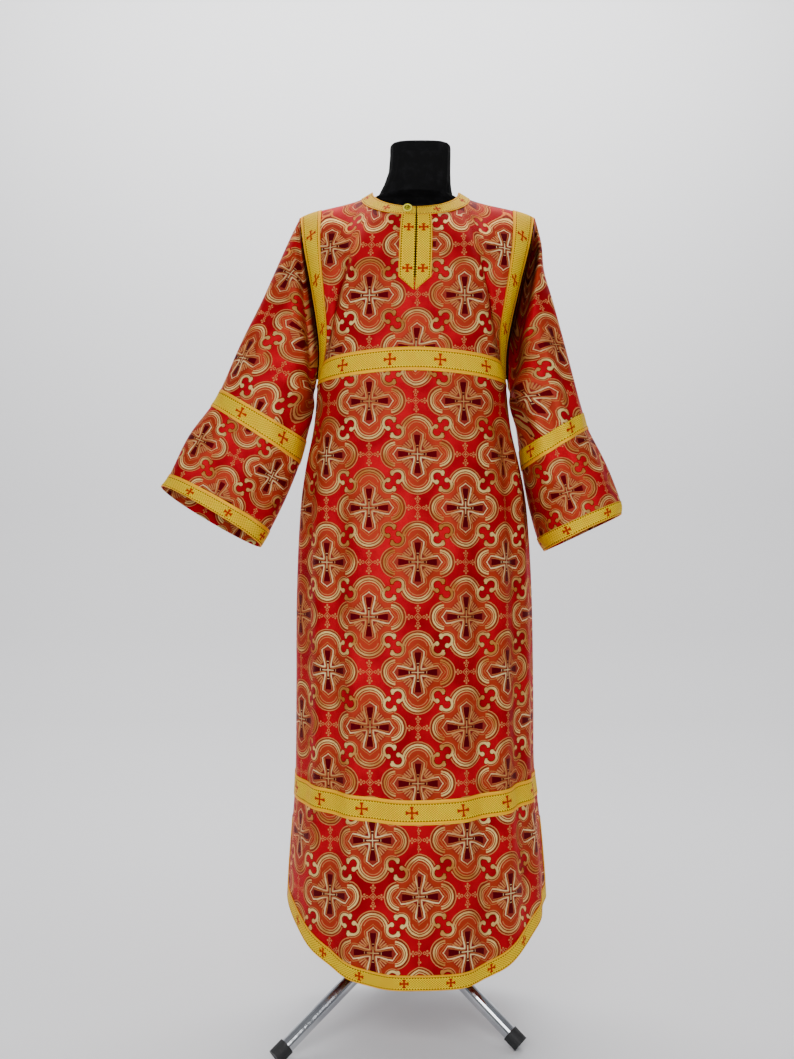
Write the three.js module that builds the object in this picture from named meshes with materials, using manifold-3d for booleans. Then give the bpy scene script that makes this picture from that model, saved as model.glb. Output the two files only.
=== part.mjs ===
// Sticharion (a long wide-sleeved tunic of brocade with galloon trims) worn by a limbless dress form.
// Millimetres, +Z up, the wearer's front towards -Y, the floor at z = 0.
import * as THREE from 'three';
import { mergeVertices } from 'three/addons/utils/BufferGeometryUtils.js';
import Module from 'manifold-3d';

// Thicknesses and gaps.
const CLOTH = 2.0;
const GALLOON = 1.2;
const SEAM_GAP = 0.3;
const CORNER_GAP = 0.9;
const GALLOON_LIFT = 0.35;
const WIDE_GALLOON = 40;
const NARROW_GALLOON = 25;

// Where the axis of the figure stands, so that the whole part is centred on the origin.
const AXIS_Y = -27.5;

// Trunk sections: the middle line, half width, depths and squareness at each height.
const TRUNK = [
  { z: 1200, middle: 40, half: 167, front: 130, back: 117, square: 2.5 },
  { z: 1146, middle: 39, half: 169, front: 130, back: 118, square: 2.5 },
  { z: 1071, middle: 40, half: 176, front: 134, back: 124, square: 2.4 },
  { z: 999, middle: 41, half: 191, front: 142, back: 133, square: 2.3 },
  { z: 925, middle: 42, half: 202, front: 151, back: 143, square: 2.2 },
  { z: 774, middle: 43, half: 210, front: 166, back: 158, square: 2.1 },
  { z: 583, middle: 44, half: 212, front: 177, back: 171, square: 2.1 },
  { z: 470, middle: 44, half: 213, front: 181, back: 176, square: 2.1 },
  { z: 405, middle: 46, half: 218, front: 186, back: 182, square: 2.1 },
  { z: 282, middle: 47, half: 228, front: 194, back: 191, square: 2.1 },
  { z: 130, middle: 47, half: 234, front: 198, back: 197, square: 2.1 },
];

// Heights of the lines that run round the trunk: at the centre, and how much higher at the sides.
const CHEST_LINE = { z: 1158, rise: -14, power: 2 };
const MID_SEAM = { z: 427, rise: 14, power: 2 };
const SLIT_TOP = { z: 372, rise: 6, power: 2 };
const HEM = { z: 141.5, rise: 98, power: 4 };
const SLIT_OPENING = 9;

// Neck edge and the collar's outer edge: half width, depths, height at the side, drops to front and back.
const NECK_EDGE = { half: 77, front: 72, back: 56, z: 1496, frontDrop: 46, backDrop: 12 };
const COLLAR_EDGE = { half: 97, front: 90, back: 78, z: 1484, frontDrop: 53, backDrop: 14 };
const NECK_MIDDLE = 46;

// Armhole: an upright drop shape on each side, its half distance from the middle line at each height.
const ARMHOLE = { zTop: 1450, zBottom: 1144, depth: 46, taper: 1.35 };
const ARMHOLE_HALF = [
  { z: 1144, half: 169 },
  { z: 1200, half: 165 },
  { z: 1250, half: 170 },
  { z: 1325, half: 184 },
  { z: 1388, half: 198 },
  { z: 1450, half: 209 },
];
const ARMHOLE_STEPS = 8;

// Column places across a panel, as a share of the quarter turn from its centre line to the side.
const SLIT_HALF = 1.2;
const PLACKET_WIDTH = 24;
const OUTER_COLUMNS = [0.22, 0.32, 0.42, 0.52, 0.62, 0.72, 0.82, 0.93, 1];

// Rows from the collar's edge to the wide galloon, as shares of the way.
const YOKE_ROWS = [0, 0.16, 0.32, 0.49, 0.585, 0.8, 1];
const PLACKET_ROW = 3;

// Rows of the upper trunk from the chest line to the lower galloon.
const TRUNK_STEPS = 10;
const LOWER_STEPS = 3;

// Sleeve sections from armhole to cuff: outer and inner ends seen from the front, depths, middle and droop.
const SLEEVE_LEFT = [
  { outerX: -163, outerZ: 1443, innerX: -139, innerZ: 1135, front: 34, back: 44, y: 0, droop: 0 },
  { outerX: -178, outerZ: 1411, innerX: -140, innerZ: 1120, front: 50, back: 52, y: 0, droop: 0 },
  { outerX: -203, outerZ: 1355, innerX: -142, innerZ: 1102, front: 56, back: 54, y: 0, droop: 0 },
  { outerX: -230, outerZ: 1294, innerX: -144, innerZ: 1086, front: 58, back: 52, y: 0, droop: 0 },
  { outerX: -261, outerZ: 1231, innerX: -148, innerZ: 1070, front: 57, back: 50, y: 0, droop: 0 },
  { outerX: -302, outerZ: 1140, innerX: -153, innerZ: 1050, front: 54, back: 48, y: 0, droop: 2 },
  { outerX: -320, outerZ: 1109, innerX: -165, innerZ: 1008, front: 52, back: 46, y: 0, droop: 4 },
  { outerX: -360, outerZ: 1053, innerX: -188, innerZ: 949, front: 49, back: 44, y: -4, droop: 8 },
  { outerX: -393, outerZ: 983, innerX: -218, innerZ: 887, front: 46, back: 42, y: -6, droop: 12 },
  { outerX: -408, outerZ: 961, innerX: -234, innerZ: 860, front: 46, back: 42, y: -6, droop: 14 },
];
const SLEEVE_RIGHT = [
  { outerX: 264, outerZ: 1432, innerX: 218, innerZ: 1135, front: 0, back: 44, y: 0, droop: 0 },
  { outerX: 269, outerZ: 1402, innerX: 219, innerZ: 1120, front: 58, back: 54, y: -4, droop: 0 },
  { outerX: 273, outerZ: 1352, innerX: 221, innerZ: 1102, front: 70, back: 60, y: -6, droop: 0 },
  { outerX: 287, outerZ: 1300, innerX: 225, innerZ: 1086, front: 74, back: 62, y: -8, droop: 0 },
  { outerX: 306, outerZ: 1231, innerX: 229, innerZ: 1068, front: 75, back: 64, y: -8, droop: 0 },
  { outerX: 342, outerZ: 1096, innerX: 234, innerZ: 1030, front: 74, back: 66, y: -8, droop: 2 },
  { outerX: 351, outerZ: 1066, innerX: 239, innerZ: 995, front: 73, back: 66, y: -8, droop: 4 },
  { outerX: 382, outerZ: 1004, innerX: 250, innerZ: 934, front: 72, back: 66, y: -10, droop: 6 },
  { outerX: 408, outerZ: 937, innerX: 266, innerZ: 874, front: 70, back: 66, y: -12, droop: 8 },
  { outerX: 409, outerZ: 914, innerX: 279, innerZ: 852, front: 70, back: 66, y: -12, droop: 8 },
];
const SLEEVE_SQUARE = 2.2;
const UNDERARM_CLEAR = 6;
const SLEEVE_BAND_ROW = 6;
const CUFF_BAND_ROW = 9;

// Dress form: torso and neck sections, then its stand.
const TORSO = [
  { z: 812, x: 46, half: 118, front: 84, back: 86, square: 2 },
  { z: 826, x: 46, half: 146, front: 104, back: 108, square: 2 },
  { z: 900, x: 46, half: 160, front: 114, back: 120, square: 2 },
  { z: 985, x: 46, half: 150, front: 106, back: 108, square: 2 },
  { z: 1070, x: 46, half: 128, front: 96, back: 90, square: 2 },
  { z: 1160, x: 46, half: 140, front: 108, back: 98, square: 2 },
  { z: 1260, x: 46, half: 142, front: 102, back: 94, square: 2 },
  { z: 1340, x: 46, half: 150, front: 84, back: 80, square: 2 },
  { z: 1400, x: 46, half: 154, front: 60, back: 58, square: 2 },
  { z: 1436, x: 46, half: 150, front: 30, back: 32, square: 2 },
  { z: 1460, x: 46, half: 140, front: 20, back: 26, square: 2 },
  { z: 1471, x: 46, half: 118, front: 17, back: 22, square: 2 },
  { z: 1481, x: 46, half: 86, front: 26, back: 30, square: 2 },
  { z: 1490, x: 46, half: 67, front: 40, back: 40, square: 2 },
  { z: 1508, x: 49.5, half: 60, front: 42, back: 42, square: 2.8 },
  { z: 1530, x: 53, half: 55.5, front: 42, back: 44, square: 3.2 },
  { z: 1560, x: 54.5, half: 54.5, front: 42, back: 42, square: 3.4 },
];
const TORSO_SIDES = 28;
const NECK_CAP = { half: 54.5, depth: 42, low: 1560.3, high: 1578, round: 6, steps: 4, x: 54.5, square: 3.4 };
const POLE = { radius: 14, bottom: 206.2, top: 811.3, footX: 28, headX: 46 };
const HUB = { x: 27, radius: 27, bottom: 142, top: 205.7 };
const LEG = { radius: 12.5, startZ: 172, capLength: 26, capRadius: 14.5 };
const FEET = [
  { x: -190, y: -150 },
  { x: 224, y: -102 },
  { x: 12, y: 243 },
];

const BUTTON = { radius: 8, thickness: 4, rim: 1.6, x: 31, lean: 0.45, clear: 0.25 };

const materials = {
  brocade: new THREE.MeshStandardMaterial({ color: 0xa01420, roughness: 0.5, metalness: 0.1 }),
  galloon: new THREE.MeshStandardMaterial({ color: 0xe0c020, roughness: 0.45, metalness: 0.3 }),
  formCloth: new THREE.MeshStandardMaterial({ color: 0x0c0c0d, roughness: 0.9, metalness: 0 }),
  chrome: new THREE.MeshStandardMaterial({ color: 0xd8dadc, roughness: 0.12, metalness: 1 }),
  rubber: new THREE.MeshStandardMaterial({ color: 0x151515, roughness: 0.7, metalness: 0 }),
  button: new THREE.MeshStandardMaterial({ color: 0xd8c840, roughness: 0.3, metalness: 0.4 }),
};

const part = new THREE.Group();
part.name = 'sticharion_on_dress_form';
part.position.y = AXIS_Y;

// Adds one named mesh to the part.
function addPiece(name, geometry, material) {
  const mesh = new THREE.Mesh(geometry, material);
  mesh.name = name;
  part.add(mesh);
  return mesh;
}

// Reads a column of a table at any key, by a smooth curve through its rows.
function readTable(table, key, at, column) {
  const rising = table[table.length - 1][key] > table[0][key];
  const rows = rising ? table : [...table].reverse();
  let i = 0;
  while (i < rows.length - 2 && at > rows[i + 1][key]) i += 1;
  const a = rows[i];
  const b = rows[i + 1];
  const before = rows[Math.max(i - 1, 0)];
  const after = rows[Math.min(i + 2, rows.length - 1)];
  const span = b[key] - a[key];
  const t = THREE.MathUtils.clamp((at - a[key]) / span, 0, 1);
  const slopeA = ((b[column] - before[column]) / (b[key] - before[key])) * span;
  const slopeB = ((after[column] - a[column]) / (after[key] - a[key])) * span;
  const t2 = t * t;
  const t3 = t2 * t;
  const fromA = (2 * t3 - 3 * t2 + 1) * a[column] + (t3 - 2 * t2 + t) * slopeA;
  const fromB = (3 * t2 - 2 * t3) * b[column] + (t3 - t2) * slopeB;
  return fromA + fromB;
}

// Unit point of a squared-off oval in the direction of an angle.
function squareOval(angle, square) {
  const c = Math.abs(Math.cos(angle));
  const s = Math.abs(Math.sin(angle));
  const reach = 1 / (c ** square + s ** square) ** (1 / square);
  return { along: reach * Math.cos(angle), across: reach * Math.sin(angle) };
}

// Height of a line round the trunk at an angle from the centre of the panel.
function lineHeight(line, angle) {
  return line.z + line.rise * Math.abs(Math.sin(angle)) ** line.power;
}

// Point of the trunk's outer surface: side -1 is the front and 1 the back, angle 0 is its centre line.
function trunkPoint(side, angle, z) {
  const half = readTable(TRUNK, 'z', z, 'half');
  const depth = readTable(TRUNK, 'z', z, side < 0 ? 'front' : 'back');
  const square = readTable(TRUNK, 'z', z, 'square');
  const middle = readTable(TRUNK, 'z', z, 'middle');
  const c = Math.abs(Math.cos(angle)) / depth;
  const s = Math.abs(Math.sin(angle)) / half;
  const reach = 1 / (c ** square + s ** square) ** (1 / square);
  const x = middle + reach * Math.sin(angle);
  return new THREE.Vector3(x, side * reach * Math.cos(angle), z);
}

// Angles of a panel's columns, from its left side to its right side.
function columnAngles() {
  const chestDepth = TRUNK[0].front;
  const slit = Math.atan(SLIT_HALF / chestDepth);
  const placket = Math.atan((SLIT_HALF + PLACKET_WIDTH) / chestDepth);
  const right = [slit, placket, ...OUTER_COLUMNS.map((share) => (share * Math.PI) / 2)];
  const left = right.map((angle) => -angle).reverse();
  return [...left, ...right];
}

const ANGLES = columnAngles();
const LAST = ANGLES.length - 1;
const CENTRE = ANGLES.length / 2 - 1;

// Point on a ring round the neck; turn is the angle from the centre front or back, signed like x.
function ringPoint(ring, side, turn) {
  const depth = side < 0 ? ring.front : ring.back;
  const drop = side < 0 ? ring.frontDrop : ring.backDrop;
  const x = NECK_MIDDLE + ring.half * Math.sin(turn);
  return new THREE.Vector3(x, side * depth * Math.cos(turn), ring.z - drop * Math.cos(turn));
}

// Point of the armhole: hand -1 is the left of the picture, turn 0 its top and PI its underarm end.
function armholePoint(hand, side, turn) {
  const middleZ = (ARMHOLE.zTop + ARMHOLE.zBottom) / 2;
  const reach = (ARMHOLE.zTop - ARMHOLE.zBottom) / 2;
  const fall = turn / (Math.PI / 2) - 1;
  const upper = turn <= Math.PI / 2;
  const z = upper ? middleZ + reach * Math.cos(turn) : middleZ - reach * fall;
  const depth = ARMHOLE.depth * (upper ? Math.sin(turn) : 1 - fall ** ARMHOLE.taper);
  const half = readTable(ARMHOLE_HALF, 'z', z, 'half');
  const middle = THREE.MathUtils.mapLinear(z, ARMHOLE.zBottom, ARMHOLE.zTop, TRUNK[1].middle, NECK_MIDDLE + 3);
  return new THREE.Vector3(middle + hand * half, side * depth, z);
}

// Direction in which the cloth runs into the underarm corner, from above and in front or behind.
function cornerRun(hand, side) {
  return new THREE.Vector3(hand * 0.3, -side * 0.55, -0.78);
}

// Direction in which the cloth runs into the armhole seam.
function armholeRun(hand, side, turn) {
  const top = new THREE.Vector3(hand * 0.88, 0, -0.47);
  const middle = new THREE.Vector3(hand * 0.42, -side * 0.85, -0.3);
  const share = turn / Math.PI;
  if (share < 0.5) return top.lerp(middle, Math.sin(share * Math.PI)).normalize();
  return middle.lerp(cornerRun(hand, side), share * 2 - 1).normalize();
}

// Neck angle of a chest column: straight down from the placket, spreading to the outer ones.
const CHEST_NECK_TURN = THREE.MathUtils.degToRad(50);
function chestNeckTurn(angle) {
  const edge = Math.asin((SLIT_HALF + PLACKET_WIDTH) / COLLAR_EDGE.half);
  const inner = Math.atan((SLIT_HALF + PLACKET_WIDTH) / TRUNK[0].front);
  const size = Math.abs(angle);
  if (size <= inner + 1e-9) return Math.asin((Math.tan(angle) * TRUNK[0].front) / COLLAR_EDGE.half);
  return Math.sign(angle) * THREE.MathUtils.mapLinear(size, inner, Math.PI / 2, edge, CHEST_NECK_TURN);
}

// One line of the yoke from the neck edge to the chest line or the armhole, as rows of points.
// Its swell, 0 to 1, is how far it rounds over the corner of the chest.
function yokeLine(side, turn, end, run, swell) {
  const neck = ringPoint(NECK_EDGE, side, turn);
  const start = ringPoint(COLLAR_EDGE, side, turn);
  const chord = end.clone().sub(start);
  const reach = chord.length();
  const slope = start.clone().sub(neck).normalize().lerp(chord.normalize(), 0.45 - 0.2 * swell).normalize();
  const first = start.clone().addScaledVector(slope, reach * (0.2 + 0.12 * swell));
  const second = end.clone().addScaledVector(run, -reach * (0.25 + 0.2 * swell));
  const curve = new THREE.CubicBezierCurve3(start, first, second, end);
  curve.arcLengthDivisions = 400;
  const length = curve.getLength();
  const bandShare = 1 - WIDE_GALLOON / length;
  const rows = YOKE_ROWS.map((share) => curve.getPointAt(share * bandShare));
  return [neck, ...rows, end];
}

// The yoke's columns on one side: left armhole, chest, right armhole.
function yokeColumns(side) {
  const columns = [];
  const armTurn = (step) => (step / ARMHOLE_STEPS) * Math.PI;
  const armSwell = (step) => Math.sin(armTurn(step) / 2);
  const neckTurn = (step) => THREE.MathUtils.lerp(Math.PI / 2, CHEST_NECK_TURN, step / ARMHOLE_STEPS);
  for (let step = 0; step < ARMHOLE_STEPS; step += 1) {
    const end = armholePoint(-1, side, armTurn(step));
    columns.push(yokeLine(side, -neckTurn(step), end, armholeRun(-1, side, armTurn(step)), armSwell(step)));
  }
  for (const angle of ANGLES) {
    const end = trunkPoint(side, angle, lineHeight(CHEST_LINE, angle));
    const corner = cornerRun(Math.sign(angle), side);
    const run = new THREE.Vector3(0, 0, -1).lerp(corner, Math.sin(Math.abs(angle)) ** 6).normalize();
    columns.push(yokeLine(side, chestNeckTurn(angle), end, run, Math.sin(Math.abs(angle)) ** 4));
  }
  for (let step = ARMHOLE_STEPS - 1; step >= 0; step -= 1) {
    const end = armholePoint(1, side, armTurn(step));
    columns.push(yokeLine(side, neckTurn(step), end, armholeRun(1, side, armTurn(step)), armSwell(step)));
  }
  return columns;
}

// Turns a list of columns into a grid of rows.
function rowsOf(columns) {
  return columns[0].map((_, row) => columns.map((column) => column[row]));
}

// Rows of the upper trunk from the chest line to the seam under the lower galloon.
function trunkColumn(side, angle) {
  const top = lineHeight(CHEST_LINE, angle);
  const seam = lineHeight(MID_SEAM, angle);
  const bandTop = seam + WIDE_GALLOON / 2;
  const column = [];
  for (let step = 0; step <= TRUNK_STEPS; step += 1) {
    column.push(trunkPoint(side, angle, THREE.MathUtils.lerp(top, bandTop, step / TRUNK_STEPS)));
  }
  column.push(trunkPoint(side, angle, seam));
  return column;
}

// Rows of the lower panel; below the slit's top its side edges draw apart.
function lowerColumn(side, angle) {
  const seam = lineHeight(MID_SEAM, angle);
  const slitTop = lineHeight(SLIT_TOP, angle);
  const hem = lineHeight(HEM, angle);
  const climb = (HEM.rise * HEM.power * Math.abs(Math.sin(angle)) ** 3 * Math.cos(angle)) / TRUNK[9].half;
  const galloonTop = hem + NARROW_GALLOON * Math.sqrt(1 + climb * climb);
  const heights = [seam, seam - WIDE_GALLOON / 2];
  for (let step = 0; step <= LOWER_STEPS; step += 1) {
    heights.push(THREE.MathUtils.lerp(slitTop, galloonTop, step / LOWER_STEPS));
  }
  heights.push(hem);
  return heights.map((z) => {
    const below = Math.max(0, (slitTop - z) / (SLIT_TOP.z - HEM.z - HEM.rise));
    const pull = 1 - (SLIT_OPENING * Math.min(below, 1)) / (TRUNK[9].half * (Math.PI / 2));
    return trunkPoint(side, angle * pull, z);
  });
}

// Sleeve grid: rows from the armhole to the cuff, columns round it from the top by the front.
function sleeveRows(hand, table) {
  const turns = [];
  for (let step = 0; step < 2 * ARMHOLE_STEPS; step += 1) turns.push((step / ARMHOLE_STEPS) * Math.PI);
  const sideOf = (turn) => (turn <= Math.PI ? -1 : 1);
  const around = (turn) => (turn <= Math.PI ? turn : 2 * Math.PI - turn);
  const rows = [turns.map((turn) => {
    const clear = THREE.MathUtils.lerp(SEAM_GAP, UNDERARM_CLEAR, (1 - Math.cos(turn)) / 2);
    return armholePoint(hand, sideOf(turn), around(turn)).add(new THREE.Vector3(hand * clear, 0, 0));
  })];
  for (const row of table) {
    rows.push(turns.map((turn) => {
      const oval = squareOval(around(turn), SLEEVE_SQUARE);
      const x = (row.outerX + row.innerX) / 2 + ((row.outerX - row.innerX) / 2) * oval.along;
      const z = (row.outerZ + row.innerZ) / 2 + ((row.outerZ - row.innerZ) / 2) * oval.along;
      const reach = sideOf(turn) < 0 ? -row.front : row.back;
      const y = row.y + reach * oval.across;
      return new THREE.Vector3(x, y, z - (row.droop * y) / row.back);
    }));
  }
  return rows;
}

// Faces of a grid, turned outwards. The fold of each four-sided face leans away from the centre line.
function gridFaces(rows, options) {
  const { wrap = false, flip = false, keep = () => true, centre = -1 } = options;
  const faces = [];
  const count = rows[0].length;
  const steps = wrap ? count : count - 1;
  for (let r = 0; r < rows.length - 1; r += 1) {
    for (let c = 0; c < steps; c += 1) {
      if (!keep(r, c)) continue;
      const d = (c + 1) % count;
      const leftFirst = [rows[r][c], rows[r + 1][c], rows[r + 1][d], rows[r][d]];
      const rightFirst = [rows[r][d], rows[r][c], rows[r + 1][c], rows[r + 1][d]];
      const face = centre >= 0 && c >= centre ? rightFirst : leftFirst;
      faces.push(flip ? [face[0], face[3], face[2], face[1]] : face);
    }
  }
  return faces;
}

// Vertex normals shared by every sheet that meets at a point.
const pointKey = (p) => p.toArray().map((value) => Math.round(value * 100)).join();
function gatherNormals(normals, faces) {
  for (const face of faces) {
    const across = face[2].clone().sub(face[0]);
    const normal = across.cross(face[3].clone().sub(face[1])).normalize();
    for (const p of face) {
      const key = pointKey(p);
      if (!normals.has(key)) normals.set(key, new THREE.Vector3());
      normals.get(key).add(normal);
    }
  }
}

function setNormals(normals, rows) {
  for (const row of rows) {
    for (const p of row) p.normal = normals.get(pointKey(p)).clone().normalize();
  }
}

// A point moved towards another one, keeping its normal.
function movedTowards(p, other, distance) {
  const moved = p.clone().add(other.clone().sub(p).setLength(distance));
  moved.normal = p.normal;
  return moved;
}

// A copy of a grid whose named edges are drawn in by half the seam gap.
function drawnIn(rows, edges) {
  const half = SEAM_GAP / 2;
  let grid = rows.map((row) => [...row]);
  const lastRow = grid.length - 1;
  const lastColumn = grid[0].length - 1;
  if (edges.top) grid[0] = grid[0].map((p, c) => movedTowards(p, rows[1][c], half));
  if (edges.bottom) grid[lastRow] = grid[lastRow].map((p, c) => movedTowards(p, rows[lastRow - 1][c], half));
  if (edges.sides) {
    grid = grid.map((row) => {
      const copy = [...row];
      copy[0] = movedTowards(row[0], row[1], half);
      copy[lastColumn] = movedTowards(row[lastColumn], row[lastColumn - 1], half);
      return copy;
    });
  }
  return grid;
}

// A closed wall over faces, from one height above the sheet to another.
function wallOf(faces, low, high) {
  const index = new Map();
  const positions = [];
  for (const face of faces) {
    for (const p of face) {
      if (index.has(p)) continue;
      index.set(p, index.size);
      const outer = p.clone().addScaledVector(p.normal, high);
      const inner = p.clone().addScaledVector(p.normal, low);
      positions.push(outer, inner);
    }
  }
  const triangles = [];
  const edges = new Map();
  for (const face of faces) {
    const corners = face.map((p) => index.get(p));
    for (let i = 1; i < corners.length - 1; i += 1) {
      triangles.push([2 * corners[0], 2 * corners[i], 2 * corners[i + 1]]);
      triangles.push([2 * corners[0] + 1, 2 * corners[i + 1] + 1, 2 * corners[i] + 1]);
    }
    corners.forEach((a, i) => edges.set(`${a},${corners[(i + 1) % corners.length]}`, [a, corners[(i + 1) % corners.length]]));
  }
  for (const [a, b] of edges.values()) {
    if (edges.has(`${b},${a}`)) continue;
    triangles.push([2 * a, 2 * a + 1, 2 * b + 1], [2 * a, 2 * b + 1, 2 * b]);
  }
  const geometry = new THREE.BufferGeometry();
  geometry.setAttribute('position', new THREE.Float32BufferAttribute(positions.flatMap((p) => [p.x, p.y, p.z]), 3));
  geometry.setIndex(triangles.flat());
  return geometry;
}

function addCloth(name, faces, outer = 0) {
  return addPiece(name, wallOf(faces, outer - CLOTH, outer), materials.brocade);
}

function addGalloon(name, faces, under = 0) {
  const low = under + GALLOON_LIFT;
  return addPiece(name, wallOf(faces, low, low + GALLOON), materials.galloon);
}

// The body: yoke, trunk and lower panel of front and back, then both sleeves.
const SIDES = [
  { name: 'front', side: -1 },
  { name: 'back', side: 1 },
];
const BAND_ROW = YOKE_ROWS.length;
const bodies = SIDES.map(({ name, side }) => {
  const yoke = rowsOf(yokeColumns(side));
  const trunk = rowsOf(ANGLES.map((angle) => trunkColumn(side, angle)));
  const lower = rowsOf(ANGLES.map((angle) => lowerColumn(side, angle)));
  // The chest line is one row, shared by yoke and trunk.
  for (let c = 0; c <= LAST; c += 1) trunk[0][c] = yoke[yoke.length - 1][ARMHOLE_STEPS + c];
  return { name, side, yoke, trunk, lower, flip: side > 0 };
});

const sleeves = [
  { name: 'left', hand: -1, rows: sleeveRows(-1, SLEEVE_LEFT), flip: false },
  { name: 'right', hand: 1, rows: sleeveRows(1, SLEEVE_RIGHT), flip: true },
];

const bodyNormals = new Map();
for (const { yoke, trunk, lower, flip } of bodies) {
  for (const rows of [yoke, trunk, lower]) gatherNormals(bodyNormals, gridFaces(rows, { flip }));
}
for (const { yoke, trunk, lower } of bodies) {
  for (const rows of [yoke, trunk, lower]) setNormals(bodyNormals, rows);
}
// Front and back share the points of the shoulder line.
bodies[1].yoke.forEach((row, r) => {
  const end = row.length - 1;
  row[0] = bodies[0].yoke[r][0];
  row[end] = bodies[0].yoke[r][end];
});
for (const { rows, flip } of sleeves) {
  const sleeveNormals = new Map();
  gatherNormals(sleeveNormals, gridFaces(rows, { wrap: true, flip }));
  setNormals(sleeveNormals, rows);
}

// Cuts columns first to last out of a grid, over rows top to bottom.
function block(rows, top, bottom, first, last) {
  return rows.slice(top, bottom + 1).map((row) => row.slice(first, last + 1));
}

for (const { name, side, yoke, trunk, lower, flip } of bodies) {
  const isFront = side < 0;
  const yokeCentre = ARMHOLE_STEPS + CENTRE;
  const slitRow = PLACKET_ROW + 1;
  const open = (r, c) => !(isFront && c === yokeCentre && r < slitRow);

  // Upper panel: the yoke and the trunk as one cloth.
  const yokeGrid = drawnIn(yoke, { sides: true });
  const lastYoke = yokeGrid.length - 1;
  const armEnds = [...Array(ARMHOLE_STEPS).keys()];
  for (const c of [...armEnds, ...armEnds.map((step) => yoke[0].length - 1 - step)]) {
    yokeGrid[lastYoke][c] = movedTowards(yoke[lastYoke][c], yoke[lastYoke - 1][c], SEAM_GAP / 2);
  }
  const trunkGrid = drawnIn(trunk, { sides: true, bottom: true });
  for (let c = 0; c <= LAST; c += 1) yokeGrid[lastYoke][ARMHOLE_STEPS + c] = trunkGrid[0][c];
  const upperFaces = [
    ...gridFaces(yokeGrid, { flip, keep: open, centre: yokeCentre }),
    ...gridFaces(trunkGrid, { flip, centre: CENTRE }),
  ];
  addCloth(`${name}_upper`, upperFaces);

  // Lower panel.
  const lowerGrid = drawnIn(lower, { sides: true, top: true });
  addCloth(`${name}_lower`, gridFaces(lowerGrid, { flip, centre: CENTRE }));

  // Chest galloon over the yoke's last row.
  const chestGrid = drawnIn(block(yoke, BAND_ROW, BAND_ROW + 1, ARMHOLE_STEPS, ARMHOLE_STEPS + LAST), { sides: true });
  addGalloon(`chest_band_${name}`, gridFaces(chestGrid, { flip, centre: CENTRE }));

  // Lower galloon over the seam of the upper and lower panels.
  const lastTrunk = trunk.length - 1;
  const midGrid = drawnIn([trunk[lastTrunk - 1], trunk[lastTrunk], lower[1]], { sides: true });
  addGalloon(`mid_band_${name}`, gridFaces(midGrid, { flip, centre: CENTRE }));

  // Hem galloon: along the hem and up both edges of the slits.
  const hemGrid = drawnIn(block(lower, 2, lower.length - 1, 0, LAST), { sides: true });
  const hemRow = hemGrid.length - 2;
  const onEdge = (r, c) => r === hemRow || c === 0 || c === LAST - 1;
  addGalloon(`hem_band_${name}`, gridFaces(hemGrid, { flip, keep: onEdge, centre: CENTRE }));
}

// Collar galloon: round the neck from one edge of the front slit to the other.
const [front, back] = bodies;
const slitColumn = ARMHOLE_STEPS + CENTRE;
const yokeEnd = front.yoke[0].length - 1;
addGalloon('collar_band', [
  ...gridFaces(block(front.yoke, 0, 1, 0, yokeEnd), { keep: (r, c) => c !== slitColumn, centre: slitColumn }),
  ...gridFaces(block(back.yoke, 0, 1, 0, yokeEnd), { flip: true, centre: slitColumn }),
]);

// Placket galloons: a strip each side of the slit that ends in a point below it.
for (const { name, hand } of sleeves) {
  const outer = hand < 0 ? slitColumn - 1 : slitColumn + 2;
  const inner = hand < 0 ? slitColumn : slitColumn + 1;
  const first = Math.min(outer, inner);
  const start = 1;
  const corner = PLACKET_ROW + 1;
  const grid = drawnIn(block(front.yoke, start, corner, first, first + 1), { top: true });
  const faces = gridFaces(grid, { centre: hand < 0 ? -1 : 0 });
  const below = front.yoke[corner + 1][inner];
  const lastRow = grid[grid.length - 1];
  const tip = hand < 0 ? [lastRow[0], below, lastRow[1]] : [lastRow[1], lastRow[0], below];
  addGalloon(`placket_${name}`, [...faces, tip]);
}

// Armhole galloons: from the front chest over the shoulder to the back chest.
for (const { name, hand } of sleeves) {
  const first = hand < 0 ? 0 : yokeEnd - ARMHOLE_STEPS;
  const corner = hand < 0 ? ARMHOLE_STEPS : 0;
  const beside = hand < 0 ? corner - 1 : 1;
  const faces = bodies.flatMap(({ yoke, flip }) => {
    const grid = block(yoke, BAND_ROW, BAND_ROW + 1, first, first + ARMHOLE_STEPS);
    for (const row of grid) row[corner] = movedTowards(row[corner], row[beside], CORNER_GAP);
    return gridFaces(grid, { flip, centre: hand < 0 ? -1 : 0 });
  });
  addGalloon(`armhole_band_${name}`, faces);
}

// Sleeves with their two galloons; their tables give the inner face of the cloth.
for (const { name, rows, flip } of sleeves) {
  const grid = drawnIn(rows, { top: true });
  addCloth(`sleeve_${name}`, gridFaces(grid, { wrap: true, flip }), CLOTH);
  for (const [band, row] of [['sleeve_band', SLEEVE_BAND_ROW], ['cuff_band', CUFF_BAND_ROW]]) {
    addGalloon(`${band}_${name}`, gridFaces(rows.slice(row, row + 2), { wrap: true, flip }), CLOTH);
  }
}

// A solid through a stack of rings of equal length, with flat ends.
function stackedRings(rings) {
  const sides = rings[0].length;
  const triangles = [];
  for (let r = 0; r < rings.length - 1; r += 1) {
    for (let i = 0; i < sides; i += 1) {
      const a = r * sides + i;
      const b = r * sides + ((i + 1) % sides);
      triangles.push(a, b, b + sides, a, b + sides, a + sides);
    }
  }
  const top = (rings.length - 1) * sides;
  for (let i = 1; i < sides - 1; i += 1) triangles.push(0, i + 1, i, top, top + i, top + i + 1);
  const geometry = new THREE.BufferGeometry();
  geometry.setAttribute('position', new THREE.Float32BufferAttribute(rings.flat(2), 3));
  geometry.setIndex(triangles);
  return geometry;
}

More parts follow.
